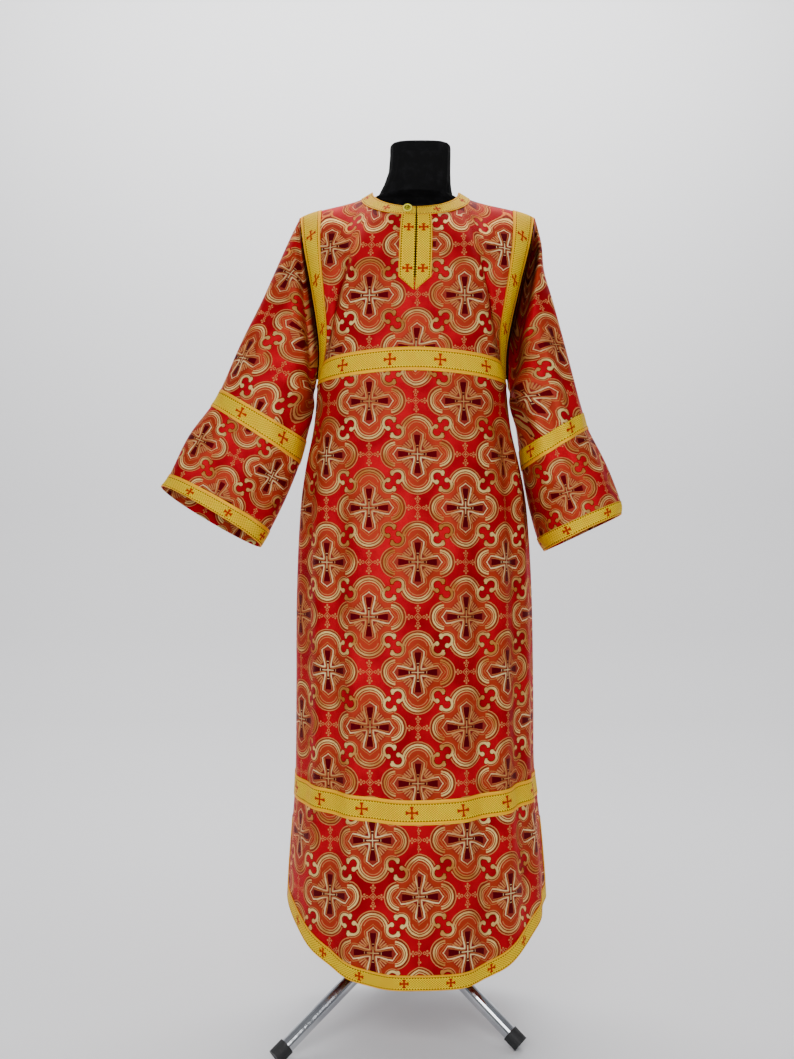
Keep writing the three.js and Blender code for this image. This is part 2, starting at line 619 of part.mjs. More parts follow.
// Dress form: torso and neck in one.
function torsoGeometry() {
  return stackedRings(TORSO.map((row) => {
    const ring = [];
    for (let i = 0; i < TORSO_SIDES; i += 1) {
      const turn = (i / TORSO_SIDES) * 2 * Math.PI;
      const depth = Math.sin(turn) < 0 ? row.front : row.back;
      const oval = squareOval(turn, row.square);
      ring.push([row.x + row.half * oval.along, depth * oval.across, row.z]);
    }
    return ring;
  }));
}
addPiece('form_torso', torsoGeometry(), materials.formCloth);

// Cap on the neck: a low block of the neck's own section with a rounded edge.
function capGeometry() {
  const { low, high, half, depth, round, steps, x, square } = NECK_CAP;
  const rings = [{ z: low, inset: 0 }];
  for (let step = 0; step <= steps; step += 1) {
    const turn = (step / steps) * (Math.PI / 2);
    rings.push({ z: high - round + round * Math.sin(turn), inset: round - round * Math.cos(turn) });
  }
  const outline = rings.map(({ z, inset }) => {
    const ring = [];
    for (let i = 0; i < TORSO_SIDES; i += 1) {
      const oval = squareOval((i / TORSO_SIDES) * 2 * Math.PI, square);
      ring.push([x + (half - inset) * oval.along, (depth - inset) * oval.across, z]);
    }
    return ring;
  });
  return stackedRings(outline);
}
addPiece('form_neck_cap', capGeometry(), materials.formCloth);

// A round bar between two points.
function barBetween(start, end, radius, sides) {
  const along = end.clone().sub(start);
  const geometry = new THREE.CylinderGeometry(radius, radius, along.length(), sides);
  geometry.applyQuaternion(new THREE.Quaternion().setFromUnitVectors(new THREE.Vector3(0, 1, 0), along.clone().normalize()));
  geometry.translate(...start.clone().add(end).multiplyScalar(0.5).toArray());
  return geometry;
}

const poleFoot = new THREE.Vector3(POLE.footX, 0, POLE.bottom);
const poleHead = new THREE.Vector3(POLE.headX, 0, POLE.top);
addPiece('stand_pole', barBetween(poleFoot, poleHead, POLE.radius, 24), materials.chrome);

const hubLow = new THREE.Vector3(HUB.x, 0, HUB.bottom);
const hubHigh = new THREE.Vector3(HUB.x, 0, HUB.top);
addPiece('stand_hub', barBetween(hubLow, hubHigh, HUB.radius, 32), materials.chrome);

// A three.js shape as a solid for cutting, and back.
const wasm = await Module();
wasm.setup();
function solidOf(geometry) {
  const bare = geometry.clone();
  bare.deleteAttribute('normal');
  bare.deleteAttribute('uv');
  const merged = mergeVertices(bare, 1e-4);
  const vertProperties = new Float32Array(merged.attributes.position.array);
  return new wasm.Manifold(new wasm.Mesh({ numProp: 3, vertProperties, triVerts: new Uint32Array(merged.index.array) }));
}
function geometryOf(solid) {
  const mesh = solid.getMesh();
  const geometry = new THREE.BufferGeometry();
  geometry.setAttribute('position', new THREE.Float32BufferAttribute(mesh.vertProperties, 3));
  geometry.setIndex(Array.from(mesh.triVerts));
  return geometry;
}

// Legs: straight tubes from the hub to the floor, each with a cap cut flat where it stands.
const hubSolid = solidOf(barBetween(hubLow, hubHigh, HUB.radius + SEAM_GAP, 32));
const floorBlock = new THREE.BoxGeometry(1200, 1200, 100);
floorBlock.translate(0, 0, -50);
const floorSolid = solidOf(floorBlock);
FEET.forEach((foot, i) => {
  const start = new THREE.Vector3(HUB.x, 0, LEG.startZ);
  const outward = new THREE.Vector3(foot.x - HUB.x, foot.y, 0).normalize();
  start.addScaledVector(outward, HUB.radius / 2);
  const toe = new THREE.Vector3(foot.x, foot.y, LEG.capRadius * 0.72);
  const down = toe.clone().sub(start).normalize();
  const capStart = toe.clone().addScaledVector(down, -LEG.capLength);
  const legEnd = capStart.clone().addScaledVector(down, -SEAM_GAP);
  const leg = solidOf(barBetween(start, legEnd, LEG.radius, 24)).subtract(hubSolid);
  const cap = solidOf(barBetween(capStart, toe, LEG.capRadius, 24)).subtract(floorSolid);
  addPiece(`stand_leg_${i + 1}`, geometryOf(leg), materials.chrome);
  addPiece(`stand_foot_${i + 1}`, geometryOf(cap), materials.rubber);
});

// Button: a small ringed disc that stands on the collar.
function buttonGeometry() {
  const { radius, thickness, rim } = BUTTON;
  const outline = [
    new THREE.Vector2(0, 0),
    new THREE.Vector2(radius - rim, 0),
    new THREE.Vector2(radius, rim),
    new THREE.Vector2(radius, thickness - rim / 2),
    new THREE.Vector2(radius - rim / 2, thickness),
    new THREE.Vector2(radius - rim, thickness),
    new THREE.Vector2(radius - 2 * rim, thickness - rim),
    new THREE.Vector2(0, thickness - rim),
  ];
  return new THREE.LatheGeometry(outline, 20);
}

// The button stands on the collar between its edges, leaning forwards from square to the cloth.
const collarAt = (turn) => {
  const inner = ringPoint(NECK_EDGE, -1, turn);
  const outer = ringPoint(COLLAR_EDGE, -1, turn);
  return { place: inner.clone().add(outer).multiplyScalar(0.5), run: outer.clone().sub(inner) };
};
const buttonTurn = Math.asin((BUTTON.x - NECK_MIDDLE) / ((NECK_EDGE.half + COLLAR_EDGE.half) / 2));
const seat = collarAt(buttonTurn);
const sideways = collarAt(buttonTurn + 0.02).place.sub(collarAt(buttonTurn - 0.02).place);
const clothUp = seat.run.clone().cross(sideways).normalize();
const buttonUp = clothUp.clone().lerp(new THREE.Vector3(0, -1, 0), BUTTON.lean).normalize();
const tipped = (BUTTON.radius - BUTTON.rim) * Math.sin(clothUp.angleTo(buttonUp));
const button = addPiece('button', buttonGeometry(), materials.button);
button.quaternion.setFromUnitVectors(new THREE.Vector3(0, 1, 0), buttonUp);
button.position.copy(seat.place).addScaledVector(clothUp, GALLOON_LIFT + GALLOON + BUTTON.clear + tipped);

export default part;
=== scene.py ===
import math
import bpy
import numpy as np
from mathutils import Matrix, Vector


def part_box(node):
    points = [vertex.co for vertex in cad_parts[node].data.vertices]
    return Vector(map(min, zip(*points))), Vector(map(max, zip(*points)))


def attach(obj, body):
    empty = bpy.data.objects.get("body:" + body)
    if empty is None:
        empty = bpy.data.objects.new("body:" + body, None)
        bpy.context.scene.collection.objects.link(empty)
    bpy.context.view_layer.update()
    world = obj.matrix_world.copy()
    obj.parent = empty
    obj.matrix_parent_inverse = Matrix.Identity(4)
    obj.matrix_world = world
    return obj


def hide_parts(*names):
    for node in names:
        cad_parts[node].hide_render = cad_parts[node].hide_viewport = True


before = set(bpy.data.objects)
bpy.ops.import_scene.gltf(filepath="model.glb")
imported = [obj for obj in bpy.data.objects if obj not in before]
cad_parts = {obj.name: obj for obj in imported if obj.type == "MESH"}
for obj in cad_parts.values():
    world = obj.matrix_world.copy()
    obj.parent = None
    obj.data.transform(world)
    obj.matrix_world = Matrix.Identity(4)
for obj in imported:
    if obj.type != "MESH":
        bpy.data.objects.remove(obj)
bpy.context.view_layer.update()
bpy.ops.object.select_all(action="DESELECT")

# Camera: level, two metres in front of the form, at about waist height.
# The focal length gives the photograph's field of view, and AXIS_Y is where the form's axis stands.
AXIS_Y = -0.0275
CAMERA_X = 0.0126
CAMERA_DISTANCE = 2.0
CAMERA_HEIGHT = 0.89
camera_data = bpy.data.cameras.new("camera")
camera_data.lens = 37.77
camera_data.sensor_width = 36.0
camera = bpy.data.objects.new("camera", camera_data)
camera.location = (CAMERA_X, AXIS_Y - CAMERA_DISTANCE, CAMERA_HEIGHT)
camera.rotation_euler = (math.radians(90.0), 0.0, 0.0)
bpy.context.scene.collection.objects.link(camera)
bpy.context.scene.camera = camera

# Body panels: an upper and a lower one, front and back, sewn together under the lower galloon.
# Red satin brocade with woven gold medallions, cut wide, with a round neck and a slit at the front.
# Sizes are in millimetres, as a maker would note them down, and MM turns them into metres.
MM = 0.001
CLOTH = 1.5
TRUNK = [
    # height, middle line, half width, depth in front, depth behind, squareness
    (1200, 40, 167, 130, 117, 2.5),
    (1146, 39, 169, 130, 118, 2.5),
    (1071, 40, 176, 134, 124, 2.4),
    (999, 41, 191, 142, 133, 2.3),
    (925, 42, 202, 151, 143, 2.2),
    (774, 43, 210, 166, 158, 2.1),
    (583, 44, 212, 177, 171, 2.1),
    (470, 44, 213, 181, 176, 2.1),
    (405, 46, 218, 186, 182, 2.1),
    (282, 47, 228, 194, 191, 2.1),
    (130, 47, 234, 198, 197, 2.1),
]
CHEST_DEPTH = TRUNK[0][3]
HEM_HALF_WIDTH = TRUNK[9][2]

# Lines round the trunk: height in the middle, rise at the sides, power of the rise.
CHEST_LINE = (1158, -14, 2)
MID_SEAM = (427, 14, 2)
SLIT_TOP = (372, 6, 2)
HEM = (141.5, 98, 4)
SLIT_OPENING = 9
NECK_EDGE = {"half": 77, "front": 72, "back": 56, "z": 1496, "front_drop": 46, "back_drop": 12}
COLLAR_EDGE = {"half": 97, "front": 90, "back": 78, "z": 1484, "front_drop": 53, "back_drop": 14}
NECK_MIDDLE = 46
CLOTH_MIDDLE = 42
ARMHOLE = {"top": 1450, "bottom": 1144, "depth": 46, "taper": 1.35, "middle_top": 49, "middle_bottom": 39}
ARMHOLE_HALF = [
    # height, half distance between the armholes
    (1144, 169),
    (1200, 165),
    (1250, 170),
    (1325, 184),
    (1388, 198),
    (1450, 209),
]
SLIT_HALF = 1.2
PLACKET_WIDTH = 24
WIDE_GALLOON = 40
NARROW_GALLOON = 25
CHEST_NECK_TURN = math.radians(50)
FRONT, BACK = -1, 1

# Creases of the trunk. Each has a trough between two low ridges and fades out at both ends.
CREASE_FADE_TOP = 160
CREASE_FADE_BOTTOM = 120
RIDGE_SHARE = 0.45
RIDGE_PLACE = 1.7
CREASES = [
    # side, angle at the top, angle at the bottom, top height, bottom height, width in degrees, depth
    (FRONT, -70, -64, 1150, 500, 6.0, 6.0),
    (FRONT, -48, -42, 1060, 140, 7.0, 6.0),
    (FRONT, -20, -26, 760, 140, 8.0, 4.5),
    (FRONT, 12, 16, 1120, 600, 9.0, 4.0),
    (FRONT, 38, 33, 1010, 140, 7.0, 6.0),
    (FRONT, 63, 58, 1150, 300, 6.0, 6.5),
    (FRONT, 79, 76, 1110, 160, 5.0, 5.0),
    (BACK, -66, -60, 1150, 140, 6.0, 6.0),
    (BACK, -34, -38, 1120, 200, 7.0, 5.0),
    (BACK, -4, -8, 1140, 140, 8.0, 6.0),
    (BACK, 30, 34, 1100, 140, 7.0, 4.5),
    (BACK, 60, 66, 1150, 300, 6.0, 6.0),
]


def read_table(table, at):
    """Smooth values of a table's columns at given keys, the keys being its first column."""
    rows = np.array(sorted(table), dtype=float)
    keys = rows[:, 0]
    before = np.vstack([rows[:1], rows[:-1]])
    after = np.vstack([rows[1:], rows[-1:]])
    slope = (after[:, 1:] - before[:, 1:]) / (after[:, :1] - before[:, :1])
    at = np.asarray(at, dtype=float)
    low = np.clip(np.searchsorted(keys, at, side="left") - 1, 0, len(keys) - 2)
    span = keys[low + 1] - keys[low]
    t = np.clip((at - keys[low]) / span, 0, 1)[..., None]
    span = span[..., None]
    values = (2 * t**3 - 3 * t**2 + 1) * rows[low, 1:] + (t**3 - 2 * t**2 + t) * slope[low] * span
    values += (3 * t**2 - 2 * t**3) * rows[low + 1, 1:] + (t**3 - t**2) * slope[low + 1] * span
    return values


def line_height(line, angle):
    """Height of a line that runs round the trunk, higher or lower at the sides."""
    z, rise, power = line
    return z + rise * np.abs(np.sin(angle)) ** power


def crease_depth(side, angle, z):
    """How far the creases sink the cloth at a place on the trunk."""
    sunk = np.zeros(np.broadcast(angle, z).shape)
    for crease_side, top_angle, low_angle, top, low, width, depth in CREASES:
        if crease_side != side:
            continue
        share = np.clip((top - z) / (top - low), 0, 1)
        middle = np.radians(top_angle + (low_angle - top_angle) * share)
        fade = np.clip((top - z) / CREASE_FADE_TOP, 0, 1)
        fade = fade * np.clip((z - low + CREASE_FADE_BOTTOM) / CREASE_FADE_BOTTOM, 0, 1)
        fade = fade * fade * (3 - 2 * fade)
        across = (angle - middle) / np.radians(width)
        ridges = np.exp(-((np.abs(across) - RIDGE_PLACE) ** 2))
        sunk += depth * fade * (np.exp(-across**2) - RIDGE_SHARE * ridges)
    return sunk


def trunk_point(side, angle, z):
    """Points of the trunk's outer face, in millimetres."""
    values = read_table(TRUNK, z)
    middle, half, square = values[..., 0], values[..., 1], values[..., 4]
    depth = values[..., 2] if side == FRONT else values[..., 3]
    c = np.abs(np.cos(angle)) / depth
    s = np.abs(np.sin(angle)) / half
    reach = 1 / (c**square + s**square) ** (1 / square)
    reach = reach - crease_depth(side, angle, z) * np.cos(angle) ** 0.25
    return np.stack([middle + reach * np.sin(angle), side * reach * np.cos(angle), z + 0 * angle], axis=-1)


def ring_point(ring, side, turn):
    """Point of a ring round the neck."""
    depth = ring["front"] if side == FRONT else ring["back"]
    drop = ring["front_drop"] if side == FRONT else ring["back_drop"]
    x = NECK_MIDDLE + ring["half"] * math.sin(turn)
    return np.array([x, side * depth * math.cos(turn), ring["z"] - drop * math.cos(turn)])


def armhole_point(hand, side, turn):
    """Point of an armhole: turn 0 is its top and pi the underarm."""
    middle_z = (ARMHOLE["top"] + ARMHOLE["bottom"]) / 2
    reach = (ARMHOLE["top"] - ARMHOLE["bottom"]) / 2
    fall = turn / (math.pi / 2) - 1
    upper = turn <= math.pi / 2
    z = middle_z + reach * math.cos(turn) if upper else middle_z - reach * fall
    depth = ARMHOLE["depth"] * (math.sin(turn) if upper else 1 - fall ** ARMHOLE["taper"])
    half = float(read_table(ARMHOLE_HALF, z)[0])
    climb = (z - ARMHOLE["bottom"]) / (ARMHOLE["top"] - ARMHOLE["bottom"])
    middle = ARMHOLE["middle_bottom"] + climb * (ARMHOLE["middle_top"] - ARMHOLE["middle_bottom"])
    return np.array([middle + hand * half, side * depth, z])


def unit(vector):
    """The vector at length one."""
    return vector / np.linalg.norm(vector)


def corner_run(hand, side):
    """Direction in which the cloth runs into the underarm corner."""
    return np.array([hand * 0.3, -side * 0.55, -0.78])


def armhole_run(hand, side, turn):
    """Direction in which the cloth runs into the armhole seam."""
    top = np.array([hand * 0.88, 0, -0.47])
    middle = np.array([hand * 0.42, -side * 0.85, -0.3])
    share = turn / math.pi
    if share < 0.5:
        blend = math.sin(share * math.pi)
        return unit(top + (middle - top) * blend)
    return unit(middle + (corner_run(hand, side) - middle) * (share * 2 - 1))


def chest_neck_turn(angle):
    """Where on the neck ring the line to a chest column starts."""
    edge = math.asin((SLIT_HALF + PLACKET_WIDTH) / COLLAR_EDGE["half"])
    inner = math.atan((SLIT_HALF + PLACKET_WIDTH) / CHEST_DEPTH)
    size = abs(angle)
    if size <= inner + 1e-9:
        return math.asin(math.tan(angle) * CHEST_DEPTH / COLLAR_EDGE["half"])
    share = (size - inner) / (math.pi / 2 - inner)
    return math.copysign(edge + share * (CHEST_NECK_TURN - edge), angle)


def yoke_line(side, turn, end, run, swell, collar_shares, yoke_shares, band_shares):
    """One line of the yoke: over the collar's width, down to the wide galloon, and across that."""
    neck = ring_point(NECK_EDGE, side, turn)
    start = ring_point(COLLAR_EDGE, side, turn)
    chord = end - start
    reach = np.linalg.norm(chord)
    slope = unit(start - neck)
    slope = unit(slope + (unit(chord) - slope) * (0.45 - 0.2 * swell))
    first = start + slope * reach * (0.2 + 0.12 * swell)
    second = end - run * reach * (0.25 + 0.2 * swell)
    t = np.linspace(0, 1, 241)[:, None]
    curve = (1 - t) ** 3 * start + 3 * t * (1 - t) ** 2 * first + 3 * t**2 * (1 - t) * second + t**3 * end
    travelled = np.concatenate([[0], np.cumsum(np.linalg.norm(np.diff(curve, axis=0), axis=1))])
    band_start = travelled[-1] - WIDE_GALLOON
    stops = [share * band_start for share in yoke_shares]
    stops += [band_start + share * WIDE_GALLOON for share in band_shares]
    points = [neck + (start - neck) * share for share in collar_shares]
    points += [np.array([np.interp(stop, travelled, curve[:, axis]) for axis in range(3)]) for stop in stops]
    return points


def yoke_grid(side, arm_turns, angles, collar_shares, yoke_shares, band_shares):
    """Rows and columns of the yoke: left armhole, chest, right armhole."""
    shares = (collar_shares, yoke_shares, band_shares)
    columns = []

    def arm_column(hand, turn):
        neck_turn = math.pi / 2 + (CHEST_NECK_TURN - math.pi / 2) * turn / math.pi
        end = armhole_point(hand, side, turn)
        run = armhole_run(hand, side, turn)
        return yoke_line(side, hand * neck_turn, end, run, math.sin(turn / 2), *shares)

    for turn in arm_turns:
        columns.append(arm_column(-1, turn))
    for angle in angles:
        end = trunk_point(side, np.array(angle), np.array(line_height(CHEST_LINE, angle)))
        down = np.array([0, 0, -1.0])
        run = unit(down + (corner_run(np.sign(angle), side) - down) * math.sin(abs(angle)) ** 6)
        columns.append(yoke_line(side, chest_neck_turn(angle), end, run, math.sin(abs(angle)) ** 4, *shares))
    for turn in reversed(arm_turns):
        columns.append(arm_column(1, turn))
    return np.array(columns).transpose(1, 0, 2)


def grid_normals(points, outward, wrap=False):
    """Unit normals of a grid of points, turned the way that outward says."""
    if wrap:
        across = np.roll(points, -1, axis=1) - np.roll(points, 1, axis=1)
    else:
        across = np.gradient(points, axis=1)
    along = np.gradient(points, axis=0)
    normals = np.cross(along, across)
    normals /= np.maximum(np.linalg.norm(normals, axis=2, keepdims=True), 1e-9)
    return normals * outward


def cloth_wall(name, points, normals, uv, low, high, keep=None, wrap=False, outward=1, seam=None):
    """A closed thin wall over a grid: its outer face high and its inner face low above the points.
    A seam is a column and its flat places as seen from the cloth after it."""
    rows, columns = points.shape[:2]
    place = np.array([0, AXIS_Y, 0])
    outer = (points + normals * np.asarray(high)[..., None]) * MM + place
    inner = (points + normals * np.asarray(low)[..., None]) * MM + place
    steps = columns if wrap else columns - 1
    used = [(r, c) for r in range(rows - 1) for c in range(steps) if keep is None or keep(r, c)]
    index = {}
    faces = []
    face_uv = []
    uv_columns = uv.shape[1]

    def vertex(r, c):
        return index.setdefault((r, c % columns), len(index))

    def uv_of(corners):
        start = min(c for _, c in corners)
        return [seam[1][r] if seam and c == seam[0] <= start else uv[r, c if c < uv_columns else c % columns]
                for r, c in corners]

    edges = {}
    quads = []
    for r, c in used:
        corners = [(r, c), (r + 1, c), (r + 1, c + 1), (r, c + 1)]
        if outward < 0:
            corners = corners[::-1]
        quads.append(corners)
        ids = [vertex(*corner) for corner in corners]
        for k in range(4):
            edges[(ids[k], ids[(k + 1) % 4])] = (corners[k], corners[(k + 1) % 4])
    count = len(index)
    for corners in quads:
        ids = [vertex(*corner) for corner in corners]
        faces.append(ids)
        face_uv.append(uv_of(corners))
        faces.append([i + count for i in reversed(ids)])
        face_uv.append(uv_of(corners)[::-1])
    for (a, b), (corner_a, corner_b) in edges.items():
        if (b, a) not in edges:
            faces.append([a, a + count, b + count, b])
            face_uv.append(uv_of([corner_a, corner_a, corner_b, corner_b]))
    order = sorted(index, key=index.get)
    vertices = [outer[r, c] for r, c in order] + [inner[r, c] for r, c in order]
    mesh = bpy.data.meshes.new(name)
    mesh.from_pydata([tuple(v) for v in vertices], [], faces)
    layer = mesh.uv_layers.new(name="cloth")
    layer.data.foreach_set("uv", np.array([pair for face in face_uv for pair in face]).ravel())
    mesh.polygons.foreach_set("use_smooth", [True] * len(mesh.polygons))
    piece = bpy.data.objects.new(name, mesh)
    bpy.context.scene.collection.objects.link(piece)
    sharpen_edges(piece)
    return piece


def sharpen_edges(piece, degrees=50):
    """Smooth shading that keeps the corners of a wall's cut edges crisp."""
    bpy.ops.object.select_all(action="DESELECT")
    piece.select_set(True)
    bpy.context.view_layer.objects.active = piece
    bpy.ops.object.shade_smooth_by_angle(angle=math.radians(degrees))
    piece.select_set(False)


# The grid of one side: columns over the shoulders and chest, then down the trunk.
ARM_STEPS = 26
YOKE_SHARES = [*np.linspace(0, 0.49, 10), *np.linspace(0.49, 0.585, 4)[1:], *np.linspace(0.585, 1, 9)[1:]]
COLLAR_SHARES = [0, 0.34, 0.67]
BAND_SHARES = [0.2, 0.4, 0.6, 0.8, 1]

# The rows at the slit's end, at the plackets' point and at the upper edge of the chest galloon.
SLIT_ROW = len(COLLAR_SHARES) + 9
POINT_ROW = len(COLLAR_SHARES) + 12
BAND_ROW = len(COLLAR_SHARES) + len(YOKE_SHARES) - 1
TRUNK_STEPS = 56
BAND_HALF_STEPS = 3
PLAIN_STEPS = 3
SLIT_STEPS = 14
HEM_STEPS = 4
SIDE_COLUMNS = 42
ARM_TURNS = [math.pi * step / ARM_STEPS for step in range(ARM_STEPS)]
SLIT_ANGLE = math.atan(SLIT_HALF / CHEST_DEPTH)
PLACKET_ANGLE = math.atan((SLIT_HALF + PLACKET_WIDTH) / CHEST_DEPTH)
PLACKET_COLUMNS = 5
right_half = [*np.linspace(SLIT_ANGLE, PLACKET_ANGLE, PLACKET_COLUMNS + 1)]
right_half += [*np.linspace(PLACKET_ANGLE, math.pi / 2, SIDE_COLUMNS)[1:]]
ANGLES = np.array([-angle for angle in reversed(right_half)] + right_half)
CENTRE = len(ANGLES) // 2 - 1
SEAM_GAP = 0.3


def trunk_grid(side):
    """Rows from the chest line down to the seam of the upper and lower panels."""
    top = line_height(CHEST_LINE, ANGLES)
    seam = line_height(MID_SEAM, ANGLES)
    band_top = seam + WIDE_GALLOON / 2
    rows = [top + (band_top - top) * step / TRUNK_STEPS for step in range(TRUNK_STEPS + 1)]
    rows += [band_top + (seam - band_top) * step / BAND_HALF_STEPS for step in range(1, BAND_HALF_STEPS + 1)]
    return np.array([trunk_point(side, ANGLES, z) for z in rows])


def hem_lines(angles):
    """Heights of the slit's top, of the hem galloon's upper edge and of the hem."""
    hem = line_height(HEM, angles)
    climb = HEM[1] * HEM[2] * np.abs(np.sin(angles)) ** (HEM[2] - 1) * np.cos(angles) / HEM_HALF_WIDTH
    return line_height(SLIT_TOP, angles), hem + NARROW_GALLOON * np.sqrt(1 + climb**2), hem


def parted_point(side, angles, z, slit_top):
    """Points of the lower panel; below the top of the slits its side edges draw apart."""
    below = np.clip((slit_top - z) / (SLIT_TOP[0] - HEM[0] - HEM[1]), 0, 1)
    pull = 1 - SLIT_OPENING * below / (HEM_HALF_WIDTH * math.pi / 2)
    return trunk_point(side, angles * pull, z)


def lower_grid(side):
    """Rows of the lower panel: under the lower galloon, plain, beside the slits, under the hem galloon."""
    seam = line_height(MID_SEAM, ANGLES)
    below_band = seam - WIDE_GALLOON / 2
    slit_top, galloon_top, hem = hem_lines(ANGLES)
    lines = ((seam, below_band, BAND_HALF_STEPS), (below_band, slit_top, PLAIN_STEPS),
             (slit_top, galloon_top, SLIT_STEPS), (galloon_top, hem, HEM_STEPS))
    rows = [seam]
    for start, end, count in lines:
        rows += [start + (end - start) * step / count for step in range(1, count + 1)]
    return np.array([parted_point(side, ANGLES, z, slit_top) for z in rows])


def cloth_uv(points, centre, anchor_row, anchor_v):
    """Places on the flat cloth: u across and v along the grain, both in metres.

    u is the way round at each point's own height, v the way up its column.
    """
    rows, columns = points.shape[:2]
    u = np.zeros((rows, columns))
    for hand, start in ((1, centre + 1), (-1, centre)):
        order = list(range(start, columns) if hand > 0 else range(start, -1, -1))
        lines = [points[::-1, c] for c in order]
        heights = [np.maximum.accumulate(line[:, 2]) for line in lines]
        for k, c in enumerate(order):
            z = points[:, c, 2]
            places = [np.stack([np.interp(z, heights[j], lines[j][:, a]) for a in (0, 1)], 1)
                      for j in range(k + 1)]
            total = np.abs(places[0][:, 0] - CLOTH_MIDDLE)
            total = np.where(z <= heights[0][-1] + 1e-6, total, 0)
            for j in range(1, k + 1):
                both = z <= heights[j - 1][-1] + 1e-6
                now = z <= heights[j][-1] + 1e-6
                step = np.linalg.norm(places[j] - places[j - 1], axis=1)
                fresh = np.abs(places[j][:, 0] - CLOTH_MIDDLE)
                total = np.where(both, total + step, np.where(now, fresh, total))
            u[:, c] = hand * total
    v = np.zeros((rows, columns))
    v[anchor_row] = anchor_v
    run = np.linalg.norm(np.diff(points, axis=0), axis=2)
    rise = np.sqrt(np.maximum(run**2 - np.diff(u, axis=0) ** 2, 0))
    for r in range(anchor_row - 1, -1, -1):
        v[r] = v[r + 1] + rise[r]
    for r in range(anchor_row + 1, rows):
        v[r] = v[r - 1] - rise[r - 1]
    return np.stack([u, v], axis=2) * MM


def drawn_in(points, top=False, bottom=False, sides=False):
    """A copy of a grid with the named edges drawn in by half the seam gap."""
    grid = points.copy()
    half = SEAM_GAP / 2

    def step_to(edge, inner):
        away = inner - edge
        return edge + away / np.maximum(np.linalg.norm(away, axis=-1, keepdims=True), 1e-9) * half

    if top:
        grid[0] = step_to(points[0], points[1])
    if bottom:
        grid[-1] = step_to(points[-1], points[-2])
    if sides:
        grid[:, 0] = step_to(points[:, 0], points[:, 1])
        grid[:, -1] = step_to(points[:, -1], points[:, -2])
    return grid


MIDDLE_COLUMNS = slice(ARM_STEPS, ARM_STEPS + len(ANGLES))
bodies = {}
for side_name, side in (("front", FRONT), ("back", BACK)):
    yoke = yoke_grid(side, ARM_TURNS, ANGLES, COLLAR_SHARES, YOKE_SHARES, BAND_SHARES)
    trunk = trunk_grid(side)
    lower = lower_grid(side)
    trunk[0] = yoke[-1, MIDDLE_COLUMNS]
    outward = 1 if side == FRONT else -1
    middle = np.vstack([yoke[:, MIDDLE_COLUMNS], trunk[1:], lower[1:]])
    middle_normals = grid_normals(middle, outward)
    yoke_normals = grid_normals(yoke, outward)
    yoke_normals[:, MIDDLE_COLUMNS] = middle_normals[:len(yoke)]
    chest_v = yoke[-1, MIDDLE_COLUMNS, 2] - CHEST_LINE[0]
    rows_above = len(yoke)
    centre_uv = cloth_uv(np.vstack([yoke[:, MIDDLE_COLUMNS], trunk[1:]]), CENTRE, rows_above - 1, chest_v)
    # Above the armholes the ends of the columns climb the seam, and v climbs with them.
    yoke_u = cloth_uv(yoke, ARM_STEPS + CENTRE, rows_above - 1, 0)[..., 0] / MM
    end_v = np.zeros(yoke.shape[1])
    end_v[MIDDLE_COLUMNS] = chest_v
    for k in range(ARM_STEPS - 1, -1, -1):
        for c, near in ((k, k + 1), (yoke.shape[1] - 1 - k, yoke.shape[1] - 2 - k)):
            run = np.linalg.norm(yoke[-1, c] - yoke[-1, near])
            end_v[c] = end_v[near] + math.sqrt(max(run**2 - (yoke_u[-1, c] - yoke_u[-1, near]) ** 2, 0))
    yoke_uv = cloth_uv(yoke, ARM_STEPS + CENTRE, rows_above - 1, end_v)
    lower_uv = cloth_uv(lower, CENTRE, 0, centre_uv[-1, :, 1] / MM)
    bodies[side_name] = {
        "side": side, "outward": outward,
        "yoke": yoke, "yoke_normals": yoke_normals, "yoke_uv": yoke_uv,
        "trunk": trunk, "trunk_normals": middle_normals[len(yoke) - 1:len(yoke) + len(trunk) - 1],
        "trunk_uv": centre_uv[rows_above - 1:],
        "lower": lower, "lower_normals": middle_normals[len(yoke) + len(trunk) - 2:], "lower_uv": lower_uv,
    }


def srgb(red, green, blue):
    """A colour as the eye reads it, 0 to 255, turned into the linear values that nodes take."""
    shares = [value / 255 for value in (red, green, blue)]
    return tuple(share / 12.92 if share <= 10 / 255 else ((share + 0.055) / 1.055) ** 2.4 for share in shares)


